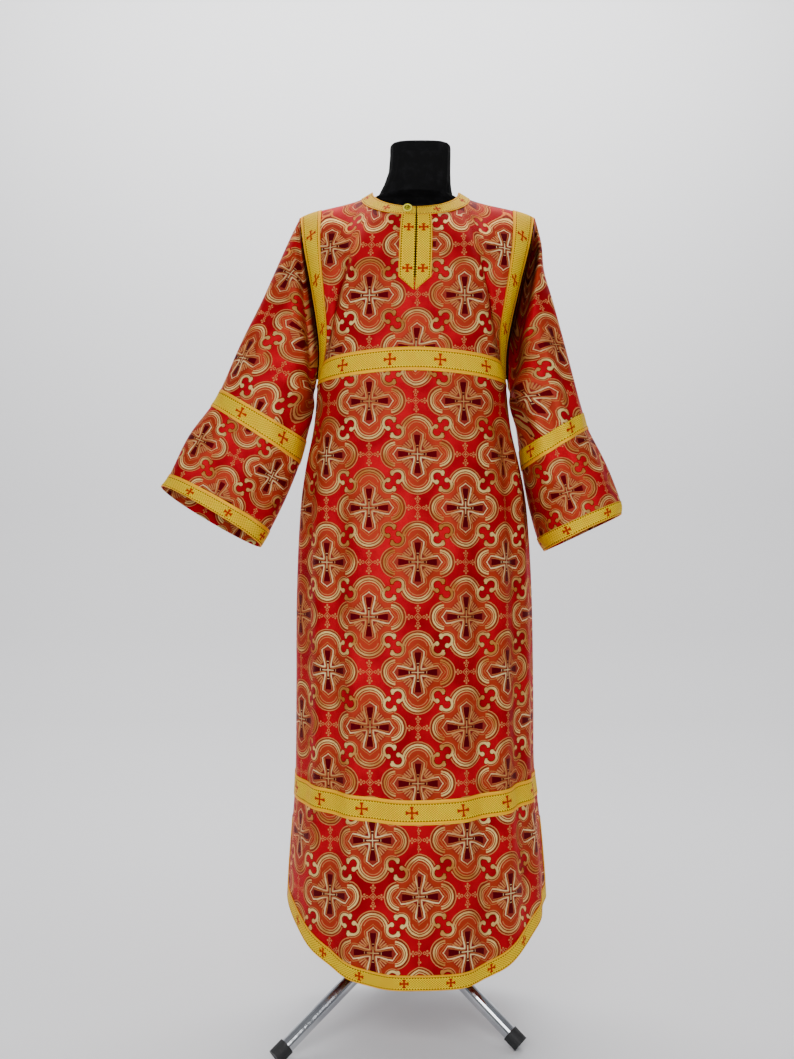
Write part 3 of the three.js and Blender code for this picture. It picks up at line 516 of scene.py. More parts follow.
class Thread:
    """A number that runs through a node tree; the ordinary operators add math nodes to it."""

    def __init__(self, tree, socket):
        self.tree = tree
        self.socket = socket

    def work(self, operation, *others):
        node = self.tree.nodes.new("ShaderNodeMath")
        node.operation = operation
        for socket, item in zip(node.inputs, (self, *others)):
            if isinstance(item, Thread):
                self.tree.links.new(item.socket, socket)
            else:
                socket.default_value = item
        return Thread(self.tree, node.outputs[0])

    def __add__(self, other):
        return self.work("ADD", other)

    def __sub__(self, other):
        return self.work("SUBTRACT", other)

    def __mul__(self, other):
        return self.work("MULTIPLY", other)

    def __truediv__(self, other):
        return self.work("DIVIDE", other)

    def __pow__(self, other):
        return self.work("POWER", other)

    def size(self):
        return self.work("ABSOLUTE")

    def most(self, other):
        return self.work("MAXIMUM", other)

    def least(self, other):
        return self.work("MINIMUM", other)

    def fold(self, half):
        """Distance to the nearest multiple of twice the half."""
        return self.work("PINGPONG", half)

    def ramp(self, start, end, low=0.0, high=1.0, shape="SMOOTHSTEP"):
        node = self.tree.nodes.new("ShaderNodeMapRange")
        node.interpolation_type = shape
        self.tree.links.new(self.socket, node.inputs["Value"])
        for name, value in (("From Min", start), ("From Max", end), ("To Min", low), ("To Max", high)):
            node.inputs[name].default_value = value
        return Thread(self.tree, node.outputs["Result"])

    def below(self, edge, soft=0.35):
        """One where the number is under the edge, nought where it is over."""
        return self.ramp(edge - soft, edge + soft, 1.0, 0.0)

    def above(self, edge, soft=0.35):
        return self.ramp(edge - soft, edge + soft)

    def near(self, middle, half, soft=0.35):
        """One within half of the middle value, nought beyond."""
        return (self - middle).size().below(half, soft)


def join(tree, x, y):
    """A flat place made of two numbers."""
    node = tree.nodes.new("ShaderNodeCombineXYZ")
    for socket, item in zip(node.inputs, (x, y)):
        if isinstance(item, Thread):
            tree.links.new(item.socket, socket)
        else:
            socket.default_value = item
    return node.outputs[0]


def distance(tree, place, x, y):
    """Distance from a place to a fixed point."""
    node = tree.nodes.new("ShaderNodeVectorMath")
    node.operation = "DISTANCE"
    tree.links.new(place, node.inputs[0])
    node.inputs[1].default_value = (x, y, 0)
    return Thread(tree, node.outputs["Value"])


def blend(tree, factor, low, high):
    """A mix of two colours or colour sockets by a mask."""
    node = tree.nodes.new("ShaderNodeMix")
    node.data_type = "RGBA"
    tree.links.new(factor.socket, node.inputs["Factor"])
    for name, item in (("A", low), ("B", high)):
        socket = next(s for s in node.inputs if s.name == name and s.type == "RGBA")
        if isinstance(item, tuple):
            socket.default_value = (*item[:3], 1)
        else:
            tree.links.new(item, socket)
    return next(s for s in node.outputs if s.type == "RGBA")


def choose(tree, factor, low, high):
    """A mix of two numbers by a mask."""
    node = tree.nodes.new("ShaderNodeMix")
    node.data_type = "FLOAT"
    tree.links.new(factor.socket, node.inputs["Factor"])
    for socket, item in ((node.inputs[2], low), (node.inputs[3], high)):
        if isinstance(item, Thread):
            tree.links.new(item.socket, socket)
        else:
            socket.default_value = item
    return Thread(tree, node.outputs[0])


def noise(tree, place, scale, detail=2.0):
    """Soft uneven patches, larger where the scale is smaller."""
    node = tree.nodes.new("ShaderNodeTexNoise")
    tree.links.new(place, node.inputs["Vector"])
    node.inputs["Scale"].default_value = scale
    node.inputs["Detail"].default_value = detail
    return Thread(tree, node.outputs[0])


def new_group(name):
    """A group that takes a place on the cloth, in millimetres, and gives colour, gold mask and height."""
    tree = bpy.data.node_groups.new(name, "ShaderNodeTree")
    tree.interface.new_socket("Place", in_out="INPUT", socket_type="NodeSocketVector")
    tree.interface.new_socket("Color", in_out="OUTPUT", socket_type="NodeSocketColor")
    tree.interface.new_socket("Gold", in_out="OUTPUT", socket_type="NodeSocketFloat")
    tree.interface.new_socket("Height", in_out="OUTPUT", socket_type="NodeSocketFloat")
    start = tree.nodes.new("NodeGroupInput")
    end = tree.nodes.new("NodeGroupOutput")
    split = tree.nodes.new("ShaderNodeSeparateXYZ")
    tree.links.new(start.outputs[0], split.inputs[0])
    return tree, start.outputs[0], Thread(tree, split.outputs[0]), Thread(tree, split.outputs[1]), end


def end_group(tree, end, colour, gold, height):
    """Link a group's three results to its end."""
    for name, item in (("Color", colour), ("Gold", gold.socket), ("Height", height.socket)):
        tree.links.new(item, end.inputs[name])


# The brocade's drawing, set out in millimetres of the flat cloth.
# Medallions stand in a half-drop repeat with a small cross between each pair.
REPEAT_HALF_WIDTH = 82.0
REPEAT_HALF_HEIGHT = 90.75
LOBE = {"top": (0, 38), "side": (37, 0)}
TOP_LOBE = {"edge": 30.0, "band": 25.3, "inner": 16.8}
SIDE_LOBE = {"edge": 25.0, "band": 19.6, "inner": 13.0}
SCROLL = {"x": 33.8, "y": 37.9, "radius": 9.5}

brocade, cloth_place, u, v, brocade_end = new_group("brocade")
wobble = noise(brocade, cloth_place, 0.25, 2.0)
across = (u + (wobble - 0.5) * 1.2).fold(REPEAT_HALF_WIDTH)
along = (v + (wobble - 0.5) * 1.2).fold(REPEAT_HALF_HEIGHT)
dropped = (across / REPEAT_HALF_WIDTH + along / REPEAT_HALF_HEIGHT).above(1.0, 0.0001)
x = choose(brocade, dropped, across, across * -1 + REPEAT_HALF_WIDTH)
y = choose(brocade, dropped, along, along * -1 + REPEAT_HALF_HEIGHT)
place = join(brocade, x, y)
from_middle = distance(brocade, place, 0, 0)
top = distance(brocade, place, *LOBE["top"])
side_on = distance(brocade, place, *LOBE["side"])
scroll = distance(brocade, place, SCROLL["x"], SCROLL["y"])

# Arms of the cross: reach runs along an arm and width across it.
reach = x.most(y)
width = x.least(y)
pale_half = reach.ramp(6, 34, 5.5, 10.5) * reach.ramp(34, 41, 1.0, 0.0, "LINEAR")
tan_half = reach.ramp(6, 34, 9.6, 14.6) * reach.ramp(35, 46.5, 1.0, 0.0, "LINEAR")
core = (width - reach.ramp(6, 33, 1.8, 5.4)).below(0) * reach.below(32.6)
pale_line = (width - pale_half).near(0, 1.1) * reach.below(42)
core_line = (width - reach.ramp(6, 33, 2.9, 6.7)).near(0, 0.35, 0.25) * reach.near(19, 14)
arm_fill = (width - pale_half).below(0) * reach.below(41)
tan_line = (width - tan_half).near(0, 0.6) * reach.below(47) * from_middle.above(15)

in_top = top.below(TOP_LOBE["edge"])
in_side = side_on.below(SIDE_LOBE["edge"])
in_middle = x.below(34) * y.below(38)
outside_scroll = scroll.above(13.5)
inside = (in_top.most(in_side).most(in_middle)) * outside_scroll
top_arc = (y - x * 0.463).above(38, 0.5)
side_arc = (x - y * 0.21).above(36.6, 0.5)
top_inner = (y - x * 0.1).above(36, 0.5)
side_inner = (x - y * 0.1).above(36, 0.5)
edge_line = top.near(TOP_LOBE["edge"], 0.85) * top_arc
edge_line = edge_line.most(side_on.near(SIDE_LOBE["edge"], 0.85) * side_arc)
thick = (top.near(TOP_LOBE["band"], 1.5) * top_inner).most(side_on.near(SIDE_LOBE["band"], 1.4) * side_inner)
thick_edge = (top.near(25.9, 4.9) * top_arc).most(side_on.near(20.5, 4.9) * side_arc)
second = (top.near(21.2, 0.8) * top_inner).most(side_on.near(15.9, 0.75) * side_inner)
inner_line = (top.near(TOP_LOBE["inner"], 0.6) * (y - x * 0.2).above(40, 0.5)).most(
    side_on.near(SIDE_LOBE["inner"], 0.6) * (x - y * 0.2).above(39, 0.5))

# Scrolls between the lobes, open outwards, with a blob on either end.
outward_turn = (x - SCROLL["x"]) + (y - SCROLL["y"])
open_side = (outward_turn - scroll * 0.81).below(0, 0.6)
curl = scroll.near(SCROLL["radius"], 2.0) * open_side
curl_edge = scroll.near(SCROLL["radius"], 3.2) * (outward_turn - scroll * 0.95).below(0, 0.6)
blobs = distance(brocade, place, 32.4, 47.0).least(distance(brocade, place, 42.4, 31))
curl = curl.most(blobs.below(3.7))
curl_edge = curl_edge.most(blobs.below(4.7))
joining_line = scroll.near(13.6, 0.7) * (outward_turn + scroll * 0.1).below(0, 0.6)
thin_lines = edge_line.most(inner_line).most(joining_line)

# Rays between the arms, and the thin cross in the middle.
ray_turn = y.work("ARCTAN2", x) * (180 / math.pi)
ray_step = (ray_turn - 25).fold(5)
rays = (ray_step * from_middle * (math.pi / 180)).below(1.05, 0.3) * from_middle.near(22.5, 6.0)
rays = rays * ray_turn.near(45, 23, 0.5)
halo = from_middle.below(29, 4.0)
pip = width.below(0.75) * reach.below(10.5)
pip = pip.most(from_middle.near(14.5, 0.45) * width.below(1.9))

# Small crosses halfway between the medallions.
to_side = (x / REPEAT_HALF_WIDTH - y / REPEAT_HALF_HEIGHT).above(0, 0.0001)
small_x = choose(brocade, to_side, x, x * -1 + REPEAT_HALF_WIDTH)
small_y = choose(brocade, to_side, y * -1 + REPEAT_HALF_HEIGHT, y)
small_reach = small_x.most(small_y)
small_width = small_x.least(small_y)
small_place = join(brocade, small_width, small_reach)
leaf = distance(brocade, small_place, 0, 18.4).below(1.7)
leaf = leaf.most(distance(brocade, small_place, 3.4, 15).below(1.6))
leaf = leaf.most(small_width.below(0.55, 0.25) * small_reach.near(15, 3.0))
bead = distance(brocade, small_place, 0, 10.4).near(2.1, 0.55)
lozenge = (small_x + small_y).near(6.4, 0.65)
speck = small_width.below(0.7, 0.25) * small_reach.below(3.4)
small_lines = leaf.most(bead).most(lozenge).most(speck)

# Colours of the threads, from the ground up.
RED = srgb(184, 0, 26)
DEEP_RED = srgb(140, 0, 20)
CORAL = srgb(166, 50, 32)
MAROON = srgb(80, 0, 14)
TAN = srgb(196, 128, 66)
ROSE_GOLD = srgb(214, 140, 84)
BROWN = srgb(86, 20, 10)

# Painted glint: the gold threads are drawn bright in places and brown in others, over a medallion or so at a
# time, for the way they catch the light.
painted_glint = noise(brocade, cloth_place, 0.014, 2.0).ramp(0.38, 0.6)
gold_thread = blend(brocade, painted_glint, srgb(196, 130, 62), srgb(255, 222, 140))
pale_thread = blend(brocade, painted_glint, srgb(214, 158, 92), srgb(255, 234, 170))
patch = noise(brocade, cloth_place, 0.012, 3.0)
colour = blend(brocade, patch.ramp(0.35, 0.7), RED, DEEP_RED)
colour = blend(brocade, inside, colour, CORAL)
colour = blend(brocade, halo * 0.85, colour, srgb(120, 26, 30))
colour = blend(brocade, rays, colour, ROSE_GOLD)
colour = blend(brocade, tan_line * inside.most(halo), colour, TAN)
colour = blend(brocade, arm_fill, colour, srgb(140, 46, 36))
colour = blend(brocade, core_line, colour, TAN)
colour = blend(brocade, pale_line, colour, pale_thread)
colour = blend(brocade, core, colour, MAROON)
colour = blend(brocade, pip, colour, pale_thread)
colour = blend(brocade, thick_edge, colour, srgb(128, 40, 22))
colour = blend(brocade, thin_lines, colour, ROSE_GOLD)
colour = blend(brocade, second, colour, gold_thread)
colour = blend(brocade, curl_edge, colour, BROWN)
colour = blend(brocade, thick.most(curl), colour, gold_thread)
colour = blend(brocade, small_lines, colour, ROSE_GOLD)
gold = thick.most(curl).most(thin_lines).most(pale_line).most(small_lines).most(pip).most(second).most(rays)
gold = gold.most(tan_line * inside)

# Weave: the satin's fine twill, and the gold threads lying across it in short floats.
twill = ((u + v) * 7.0).work("SINE")
floats = (v * 9.0 + (u * 2.2).work("SINE") * 0.6).work("SINE")
grain = choose(brocade, gold, twill * 0.05, floats * 0.16)
height = gold * 0.22 + thick.most(curl) * 0.16 + inside * 0.05 + grain
shadow_between = choose(brocade, gold, (twill * -1).ramp(0.2, 1, 0, 0.10), floats.ramp(-0.2, -1, 0, 0.32))
colour = blend(brocade, shadow_between, colour, BROWN)
end_group(brocade, brocade_end, colour, gold, height)


def group_node(tree, group, shift=(0.0, 0.0), shrink=1.0):
    """A group read on a piece's own flat places, in millimetres."""
    source = tree.nodes.new("ShaderNodeUVMap")
    source.uv_map = "cloth"
    scale = tree.nodes.new("ShaderNodeVectorMath")
    scale.operation = "MULTIPLY_ADD"
    tree.links.new(source.outputs[0], scale.inputs[0])
    scale.inputs[1].default_value = (shrink / MM, shrink / MM, 0)
    scale.inputs[2].default_value = (*shift, 0)
    node = tree.nodes.new("ShaderNodeGroup")
    node.node_tree = group
    tree.links.new(scale.outputs[0], node.inputs[0])
    return node


def raised(tree, height, strength, shader):
    """Bump from a height given in millimetres."""
    node = tree.nodes.new("ShaderNodeBump")
    node.inputs["Strength"].default_value = strength
    node.inputs["Distance"].default_value = MM
    tree.links.new(height.socket, node.inputs["Height"])
    tree.links.new(node.outputs[0], shader.inputs["Normal"])


def new_material(name):
    """An empty material, its node tree and its shader."""
    material = bpy.data.materials.new(name)
    material.use_nodes = True
    return material, material.node_tree, material.node_tree.nodes["Principled BSDF"]


def brocade_material(name, shift, fold=False, shrink=1.0):
    """Brocade with its repeat set where a piece's cloth was cut, with painted shade where no light gets into
    a fold.
    """
    material, tree, shader = new_material(name)
    node = group_node(tree, brocade, shift, shrink)
    colour = node.outputs["Color"]
    if fold:
        # Painted shade: the fold attribute blends the colour towards near black.
        shade = tree.nodes.new("ShaderNodeAttribute")
        shade.attribute_name = "fold"
        colour = blend(tree, Thread(tree, shade.outputs["Fac"]) * 0.95, colour, srgb(10, 0, 0))
    tree.links.new(colour, shader.inputs["Base Color"])
    gold = Thread(tree, node.outputs["Gold"])
    tree.links.new(gold.ramp(0, 1, 0.4, 0.7, "LINEAR").socket, shader.inputs["Metallic"])
    tree.links.new(gold.ramp(0, 1, 0.46, 0.38, "LINEAR").socket, shader.inputs["Roughness"])
    shader.inputs["Specular IOR Level"].default_value = 0.2
    shader.inputs["Specular Tint"].default_value = (*srgb(255, 60, 60), 1)
    raised(tree, Thread(tree, node.outputs["Height"]), 0.7, shader)
    return material


# One medallion stands 142 mm under the chest line, a little right of the middle, and the rest follow it.
BODY_SHIFT = (-5.0, 142.0)
body_brocade = brocade_material("brocade_body", BODY_SHIFT)
lower_brocade = brocade_material("brocade_lower", BODY_SHIFT)

for side_name, body in bodies.items():
    outward = body["outward"]
    yoke_points = drawn_in(body["yoke"], sides=True)
    trunk_points = drawn_in(body["trunk"], sides=True, bottom=True)
    arm_ends = [*range(ARM_STEPS), *range(ARM_STEPS + len(ANGLES), body["yoke"].shape[1])]
    for c in arm_ends:
        step = body["yoke"][-2, c] - body["yoke"][-1, c]
        yoke_points[-1, c] = body["yoke"][-1, c] + unit(step) * SEAM_GAP / 2
    yoke_points[-1, MIDDLE_COLUMNS] = trunk_points[0]

    # The whole panel is one grid: below the armholes only its middle columns go on.
    gap = np.full((len(trunk_points) - 1, ARM_STEPS, 3), 0.0)
    points = np.vstack([yoke_points, np.hstack([gap, trunk_points[1:], gap])])
    normals = np.vstack([body["yoke_normals"], np.hstack([gap, body["trunk_normals"][1:], gap])])
    uv = np.vstack([body["yoke_uv"], np.hstack([gap[..., :2], body["trunk_uv"][1:], gap[..., :2]])])
    chest_row = len(yoke_points) - 1
    last_middle = ARM_STEPS + len(ANGLES) - 1

    def kept(r, c, is_front=body["side"] == FRONT):
        if is_front and c == ARM_STEPS + CENTRE and r < SLIT_ROW:
            return False
        return r < chest_row or ARM_STEPS <= c < last_middle

    shape = points.shape[:2]
    body["upper"] = cloth_wall(f"cloth_{side_name}_upper", points, normals, uv, np.full(shape, -CLOTH),
                               np.zeros(shape), keep=kept, outward=outward)
    body["upper"].data.materials.append(body_brocade)
    lower_points = drawn_in(body["lower"], top=True, sides=True)
    shape = lower_points.shape[:2]
    body["hem"] = cloth_wall(f"cloth_{side_name}_lower", lower_points, body["lower_normals"],
                             body["lower_uv"], np.full(shape, -CLOTH), np.zeros(shape), outward=outward)
    body["hem"].data.materials.append(lower_brocade)
    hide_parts(f"{side_name}_upper")
    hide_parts(f"{side_name}_lower")
    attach(body["upper"], "root")
    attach(body["hem"], "root")

# Sleeves: wide tubes of the same brocade, one cloth each, sewn into the armholes and hanging down and out.
# Each row of a table is one cross section, from the armhole to the cuff, in millimetres.
SLEEVE_LEFT = [
    # outer x and height, inner x and height, depth in front and behind, y, droop
    (-163, 1443, -139, 1135, 34, 44, 0, 0),
    (-178, 1411, -140, 1120, 50, 52, 0, 0),
    (-203, 1355, -142, 1102, 56, 54, 0, 0),
    (-230, 1294, -144, 1086, 58, 52, 0, 0),
    (-261, 1231, -148, 1070, 57, 50, 0, 0),
    (-302, 1140, -153, 1050, 54, 48, 0, 2),
    (-320, 1109, -165, 1008, 52, 46, 0, 4),
    (-360, 1053, -188, 949, 49, 44, -4, 8),
    (-393, 983, -218, 887, 46, 42, -6, 12),
    (-408, 961, -234, 860, 46, 42, -6, 14),
]
SLEEVE_RIGHT = [
    # outer x and height, inner x and height, depth in front and behind, y, droop
    (264, 1432, 218, 1135, 0, 44, 0, 0),
    (269, 1402, 219, 1120, 58, 54, -4, 0),
    (273, 1352, 221, 1102, 70, 60, -6, 0),
    (287, 1300, 225, 1086, 74, 62, -8, 0),
    (306, 1231, 229, 1068, 75, 64, -8, 0),
    (342, 1096, 234, 1030, 74, 66, -8, 2),
    (351, 1066, 239, 995, 73, 66, -8, 4),
    (382, 1004, 250, 934, 72, 66, -10, 6),
    (408, 937, 266, 874, 70, 66, -12, 8),
    (409, 914, 279, 852, 70, 66, -12, 8),
]
SLEEVE_WALL = 2.0
SLEEVE_SQUARE = 2.2
UNDERARM_CLEAR = 6
SLEEVE_BAND_ROW = 6
CUFF_BAND_ROW = 9
AROUND = 112
ROWS_BETWEEN = [5, 6, 8, 8, 8, 9, 4, 6, 7, 4]

# Creases of the sleeves. Turn 0 is the top of the sleeve, 90 its front and 180 the underarm.
SLEEVE_RIDGE_SHARE = 0.5
SLEEVE_CREASES = {
    # start and end, each a share down the sleeve and a turn round it in degrees, then width and depth
    "left": [
        ((0.02, 150), (0.42, 62), 13, 5.0),
        ((0.05, 172), (0.62, 118), 12, 4.5),
        ((0.30, 96), (0.95, 84), 12, 3.0),
        ((0.10, 60), (0.50, 32), 12, 3.0),
        ((0.55, 140), (0.98, 128), 11, 3.0),
        ((0.04, 205), (0.55, 268), 13, 4.5),
        ((0.25, 230), (0.95, 236), 12, 3.5),
        ((0.10, 300), (0.60, 325), 12, 3.0),
    ],
    "right": [
        ((0.04, 140), (0.40, 84), 13, 5.0),
        ((0.06, 168), (0.60, 132), 12, 4.5),
        ((0.18, 52), (0.70, 58), 12, 3.5),
        ((0.35, 100), (0.97, 92), 12, 4.0),
        ((0.50, 26), (0.97, 36), 11, 2.5),
        ((0.04, 205), (0.50, 262), 13, 4.5),
        ((0.30, 238), (0.95, 232), 12, 3.5),
        ((0.15, 305), (0.70, 318), 12, 3.0),
    ],
}


def sleeve_crease(name, share, turn):
    """How far a sleeve's creases sink the cloth."""
    sunk = np.zeros(np.broadcast(share, turn).shape)
    degrees = np.degrees(turn)
    for (from_share, from_turn), (to_share, to_turn), wide, deep in SLEEVE_CREASES[name]:
        t = (share - from_share) / (to_share - from_share)
        middle = from_turn + (to_turn - from_turn) * np.clip(t, 0, 1)
        fade = np.clip(t / 0.25, 0, 1) * np.clip((1.15 - t) / 0.45, 0, 1)
        fade = fade * fade * (3 - 2 * fade)
        across = ((degrees - middle + 180) % 360 - 180) / wide
        ridges = np.exp(-((np.abs(across) - RIDGE_PLACE) ** 2))
        sunk += deep * fade * (np.exp(-across**2) - SLEEVE_RIDGE_SHARE * ridges)
    return sunk


def smooth_rows(rows, between):
    """More rows between a table's rows, on smooth curves through them."""
    rows = np.array(rows)
    before = np.concatenate([2 * rows[:1] - rows[1:2], rows[:-1]])
    after = np.concatenate([rows[1:], 2 * rows[-1:] - rows[-2:-1]])
    slope = (after - before) / 2
    made = [rows[0]]
    for k, count in enumerate(between):
        for step in range(1, count + 1):
            t = step / count
            a, b = rows[k], rows[k + 1]
            made.append((2 * t**3 - 3 * t**2 + 1) * a + (t**3 - 2 * t**2 + t) * slope[k]
                        + (3 * t**2 - 2 * t**3) * b + (t**3 - t**2) * slope[k + 1])
    return np.array(made)


def sleeve_ring(row, turns):
    """One section of a sleeve as a ring of points from its top by the front."""
    outer_x, outer_z, inner_x, inner_z, front, back, y_middle, droop = row
    around = np.where(turns <= math.pi, turns, 2 * math.pi - turns)
    hand_y = np.where(turns <= math.pi, -front, back)
    powers = np.abs(np.cos(around)) ** SLEEVE_SQUARE + np.abs(np.sin(around)) ** SLEEVE_SQUARE
    reach = 1 / powers ** (1 / SLEEVE_SQUARE)
    x = (outer_x + inner_x) / 2 + (outer_x - inner_x) / 2 * np.cos(around) * reach
    z = (outer_z + inner_z) / 2 + (outer_z - inner_z) / 2 * np.cos(around) * reach
    y = y_middle + hand_y * np.sin(around) * reach
    return np.stack([x, y, z - droop * y / back], axis=-1)


def sleeve_grid(name, hand, table):
    """All rows of a sleeve, the first lying at its armhole seam, and the row of each table section."""
    turns = 2 * math.pi * np.arange(AROUND) / AROUND
    first = []
    for turn in turns:
        side = FRONT if turn <= math.pi else BACK
        around = turn if turn <= math.pi else 2 * math.pi - turn
        clear = SEAM_GAP + (UNDERARM_CLEAR - SEAM_GAP) * (1 - math.cos(turn)) / 2
        first.append(armhole_point(hand, side, around) + np.array([hand * clear, 0, 0]))
    sections = [np.array(first)] + [sleeve_ring(row, turns) for row in table]
    stations = np.concatenate([[0], np.cumsum(ROWS_BETWEEN)])
    rows = smooth_rows(sections, ROWS_BETWEEN)
    middles = rows.mean(axis=1)
    run = np.concatenate([[0], np.cumsum(np.linalg.norm(np.diff(middles, axis=0), axis=1))])
    share = (run / run[-1])[:, None]
    normals = grid_normals(rows, -hand, wrap=True)
    sunk = sleeve_crease(name, share, turns[None, :]) * np.clip(share / 0.06, 0, 1)
    rows = rows - normals * sunk[..., None]
    return rows, grid_normals(rows, -hand, wrap=True), stations


def sleeve_uv(rows):
    """Flat places of a sleeve folded along its top line, in metres: u across from the fold, v down along it.
    The last column closes the ring; the seam's column under the arm is also given from behind."""
    half = AROUND // 2
    top = rows[:, 0]
    down = (top[-1] - top[1]) * np.array([1, 0, 1])
    down = down / np.linalg.norm(down)
    across = np.array([down[2], 0, -down[0]])
    if across @ (rows[0, half] - top[0]) < 0:
        across = -across
    chord = (rows[:, half] - top) * np.array([1, 0, 1])
    chord = chord / np.linalg.norm(chord, axis=1, keepdims=True)
    ring = np.concatenate([rows, rows[:, :1]], axis=1)
    step = np.linalg.norm(np.diff(ring, axis=1), axis=2)
    zero = np.zeros((len(rows), 1))
    front = np.concatenate([zero, np.cumsum(step[:, :half], axis=1)], axis=1)
    back = np.concatenate([zero, np.cumsum(step[:, :half - 1:-1], axis=1)], axis=1)[:, ::-1]

    def flat(arc, side):
        place = top[:, None] + chord[:, None] * arc[..., None] - top[0]
        return np.stack([side * (place @ across), -(place @ down)], axis=2) * MM

    front_uv = flat(front, 1)
    back_uv = flat(back, -1)
    return np.concatenate([front_uv, back_uv[:, 1:]], axis=1), (half, back_uv[:, 0])


# The deep fold in front beside each armhole, where no light gets in, gets painted shade: a near-black tint
# over the brocade.
# It has a width and a softness, and comes in over a few centimetres in front of the shoulder.
SEAM_FOLD_SHADE = {"left": (5, 5), "right": (17, 9)}
FOLD_SHADE_START = 10
FOLD_SHADE_COMES_IN = 25

# Where the drawing lies on each sleeve, and how much smaller it is drawn there than on the body.
# It looks smaller on the sleeves in the photograph; real cloth has one size of repeat.
SLEEVE_CLOTH = {"left": ((-56, 317), 1.12), "right": ((-151, 399), 1.15)}

# Seam allowances: the sleeve's raw edge, turned in and lying behind the armhole seam.
# They are brocade too, coloured almost black as painted shade for the gap behind the seam, and they leave the
# shoulder and the underarm free.
ALLOWANCE = 12
ALLOWANCE_BEHIND = 2.2
ALLOWANCE_THICK = 0.6
ALLOWANCE_COLUMNS = {"front": slice(9, 54), "back": slice(59, 104)}
# Painted shade: a near-black cloth for the seam allowances that lie in the shadow behind the seam.
allowance_shade_cloth, tree, shader = new_material("cloth_wrong_side")
source = tree.nodes.new("ShaderNodeUVMap")
source.uv_map = "cloth"
fuzz = noise(tree, source.outputs[0], 700.0, 4.0)
tone = blend(tree, fuzz.ramp(0.35, 0.75), srgb(16, 2, 2), srgb(44, 6, 6))
tree.links.new(tone, shader.inputs["Base Color"])
shader.inputs["Roughness"].default_value = 0.9
shader.inputs["Specular IOR Level"].default_value = 0.1
raised(tree, fuzz * 0.2, 0.5, shader)

seams = []
sleeves = {}
for sleeve_name, hand, table in (("left", -1, SLEEVE_LEFT), ("right", 1, SLEEVE_RIGHT)):
    rows, normals, stations = sleeve_grid(sleeve_name, hand, table)
    points = drawn_in(rows, top=True)
    uv, seam = sleeve_uv(rows)
    shift, shrink = SLEEVE_CLOTH[sleeve_name]
    material = brocade_material(f"brocade_sleeve_{sleeve_name}", shift, True, shrink)
    shape = rows.shape[:2]
    piece = cloth_wall(f"cloth_sleeve_{sleeve_name}", points, normals, uv,
                       np.full(shape, SLEEVE_WALL - CLOTH), np.full(shape, SLEEVE_WALL), wrap=True,
                       outward=-hand, seam=seam)
    piece.data.materials.append(material)
    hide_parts(f"sleeve_{sleeve_name}")
    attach(piece, "root")
    # Painted shade: how dark the cloth is painted near the armhole seam, fading in towards the front.
    places = (np.array([v.co for v in piece.data.vertices]) - np.array([0, AXIS_Y, 0])) / MM
    from_seam = np.linalg.norm(places[:, None] - rows[0][None], axis=2).min(axis=1)
    reach, soft = SEAM_FOLD_SHADE[sleeve_name]
    shade = np.clip((reach + soft - from_seam) / soft, 0, 1)
    shade = shade * np.clip((-places[:, 1] - FOLD_SHADE_START) / FOLD_SHADE_COMES_IN, 0, 1)
    piece.data.attributes.new("fold", "FLOAT", "POINT").data.foreach_set("value", shade)
    sleeves[sleeve_name] = {"rows": rows, "normals": normals, "stations": stations, "hand": hand,
                            "piece": piece}
    seam_inward = rows[0] - normals[0] * ALLOWANCE_BEHIND
    allowance = np.stack([seam_inward - np.array([hand * ALLOWANCE, 0, 0]), seam_inward,
                          rows[2] - normals[2] * ALLOWANCE_BEHIND])
    allowance_normals = np.stack([normals[0], normals[0], normals[2]])
    for side_name, columns in ALLOWANCE_COLUMNS.items():
        part = allowance[:, columns]
        shape = part.shape[:2]
        strip = cloth_wall(f"seam_{side_name}_{sleeve_name}", part, allowance_normals[:, columns],
                           uv[:3, columns], np.zeros(shape), np.full(shape, ALLOWANCE_THICK), outward=-hand)
        strip.data.materials.append(allowance_shade_cloth)
        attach(strip, "root")
        seams.append(strip)

# Galloons: stiff woven gilt braid sewn flat over the seams and edges, 40 mm or 25 mm wide.
# Corded gold rims, a row of dark dashes inside each, and crosses on a diamond-figured yellow ground.
GALLOON = 1.0
GALLOON_LIFT = 0.35


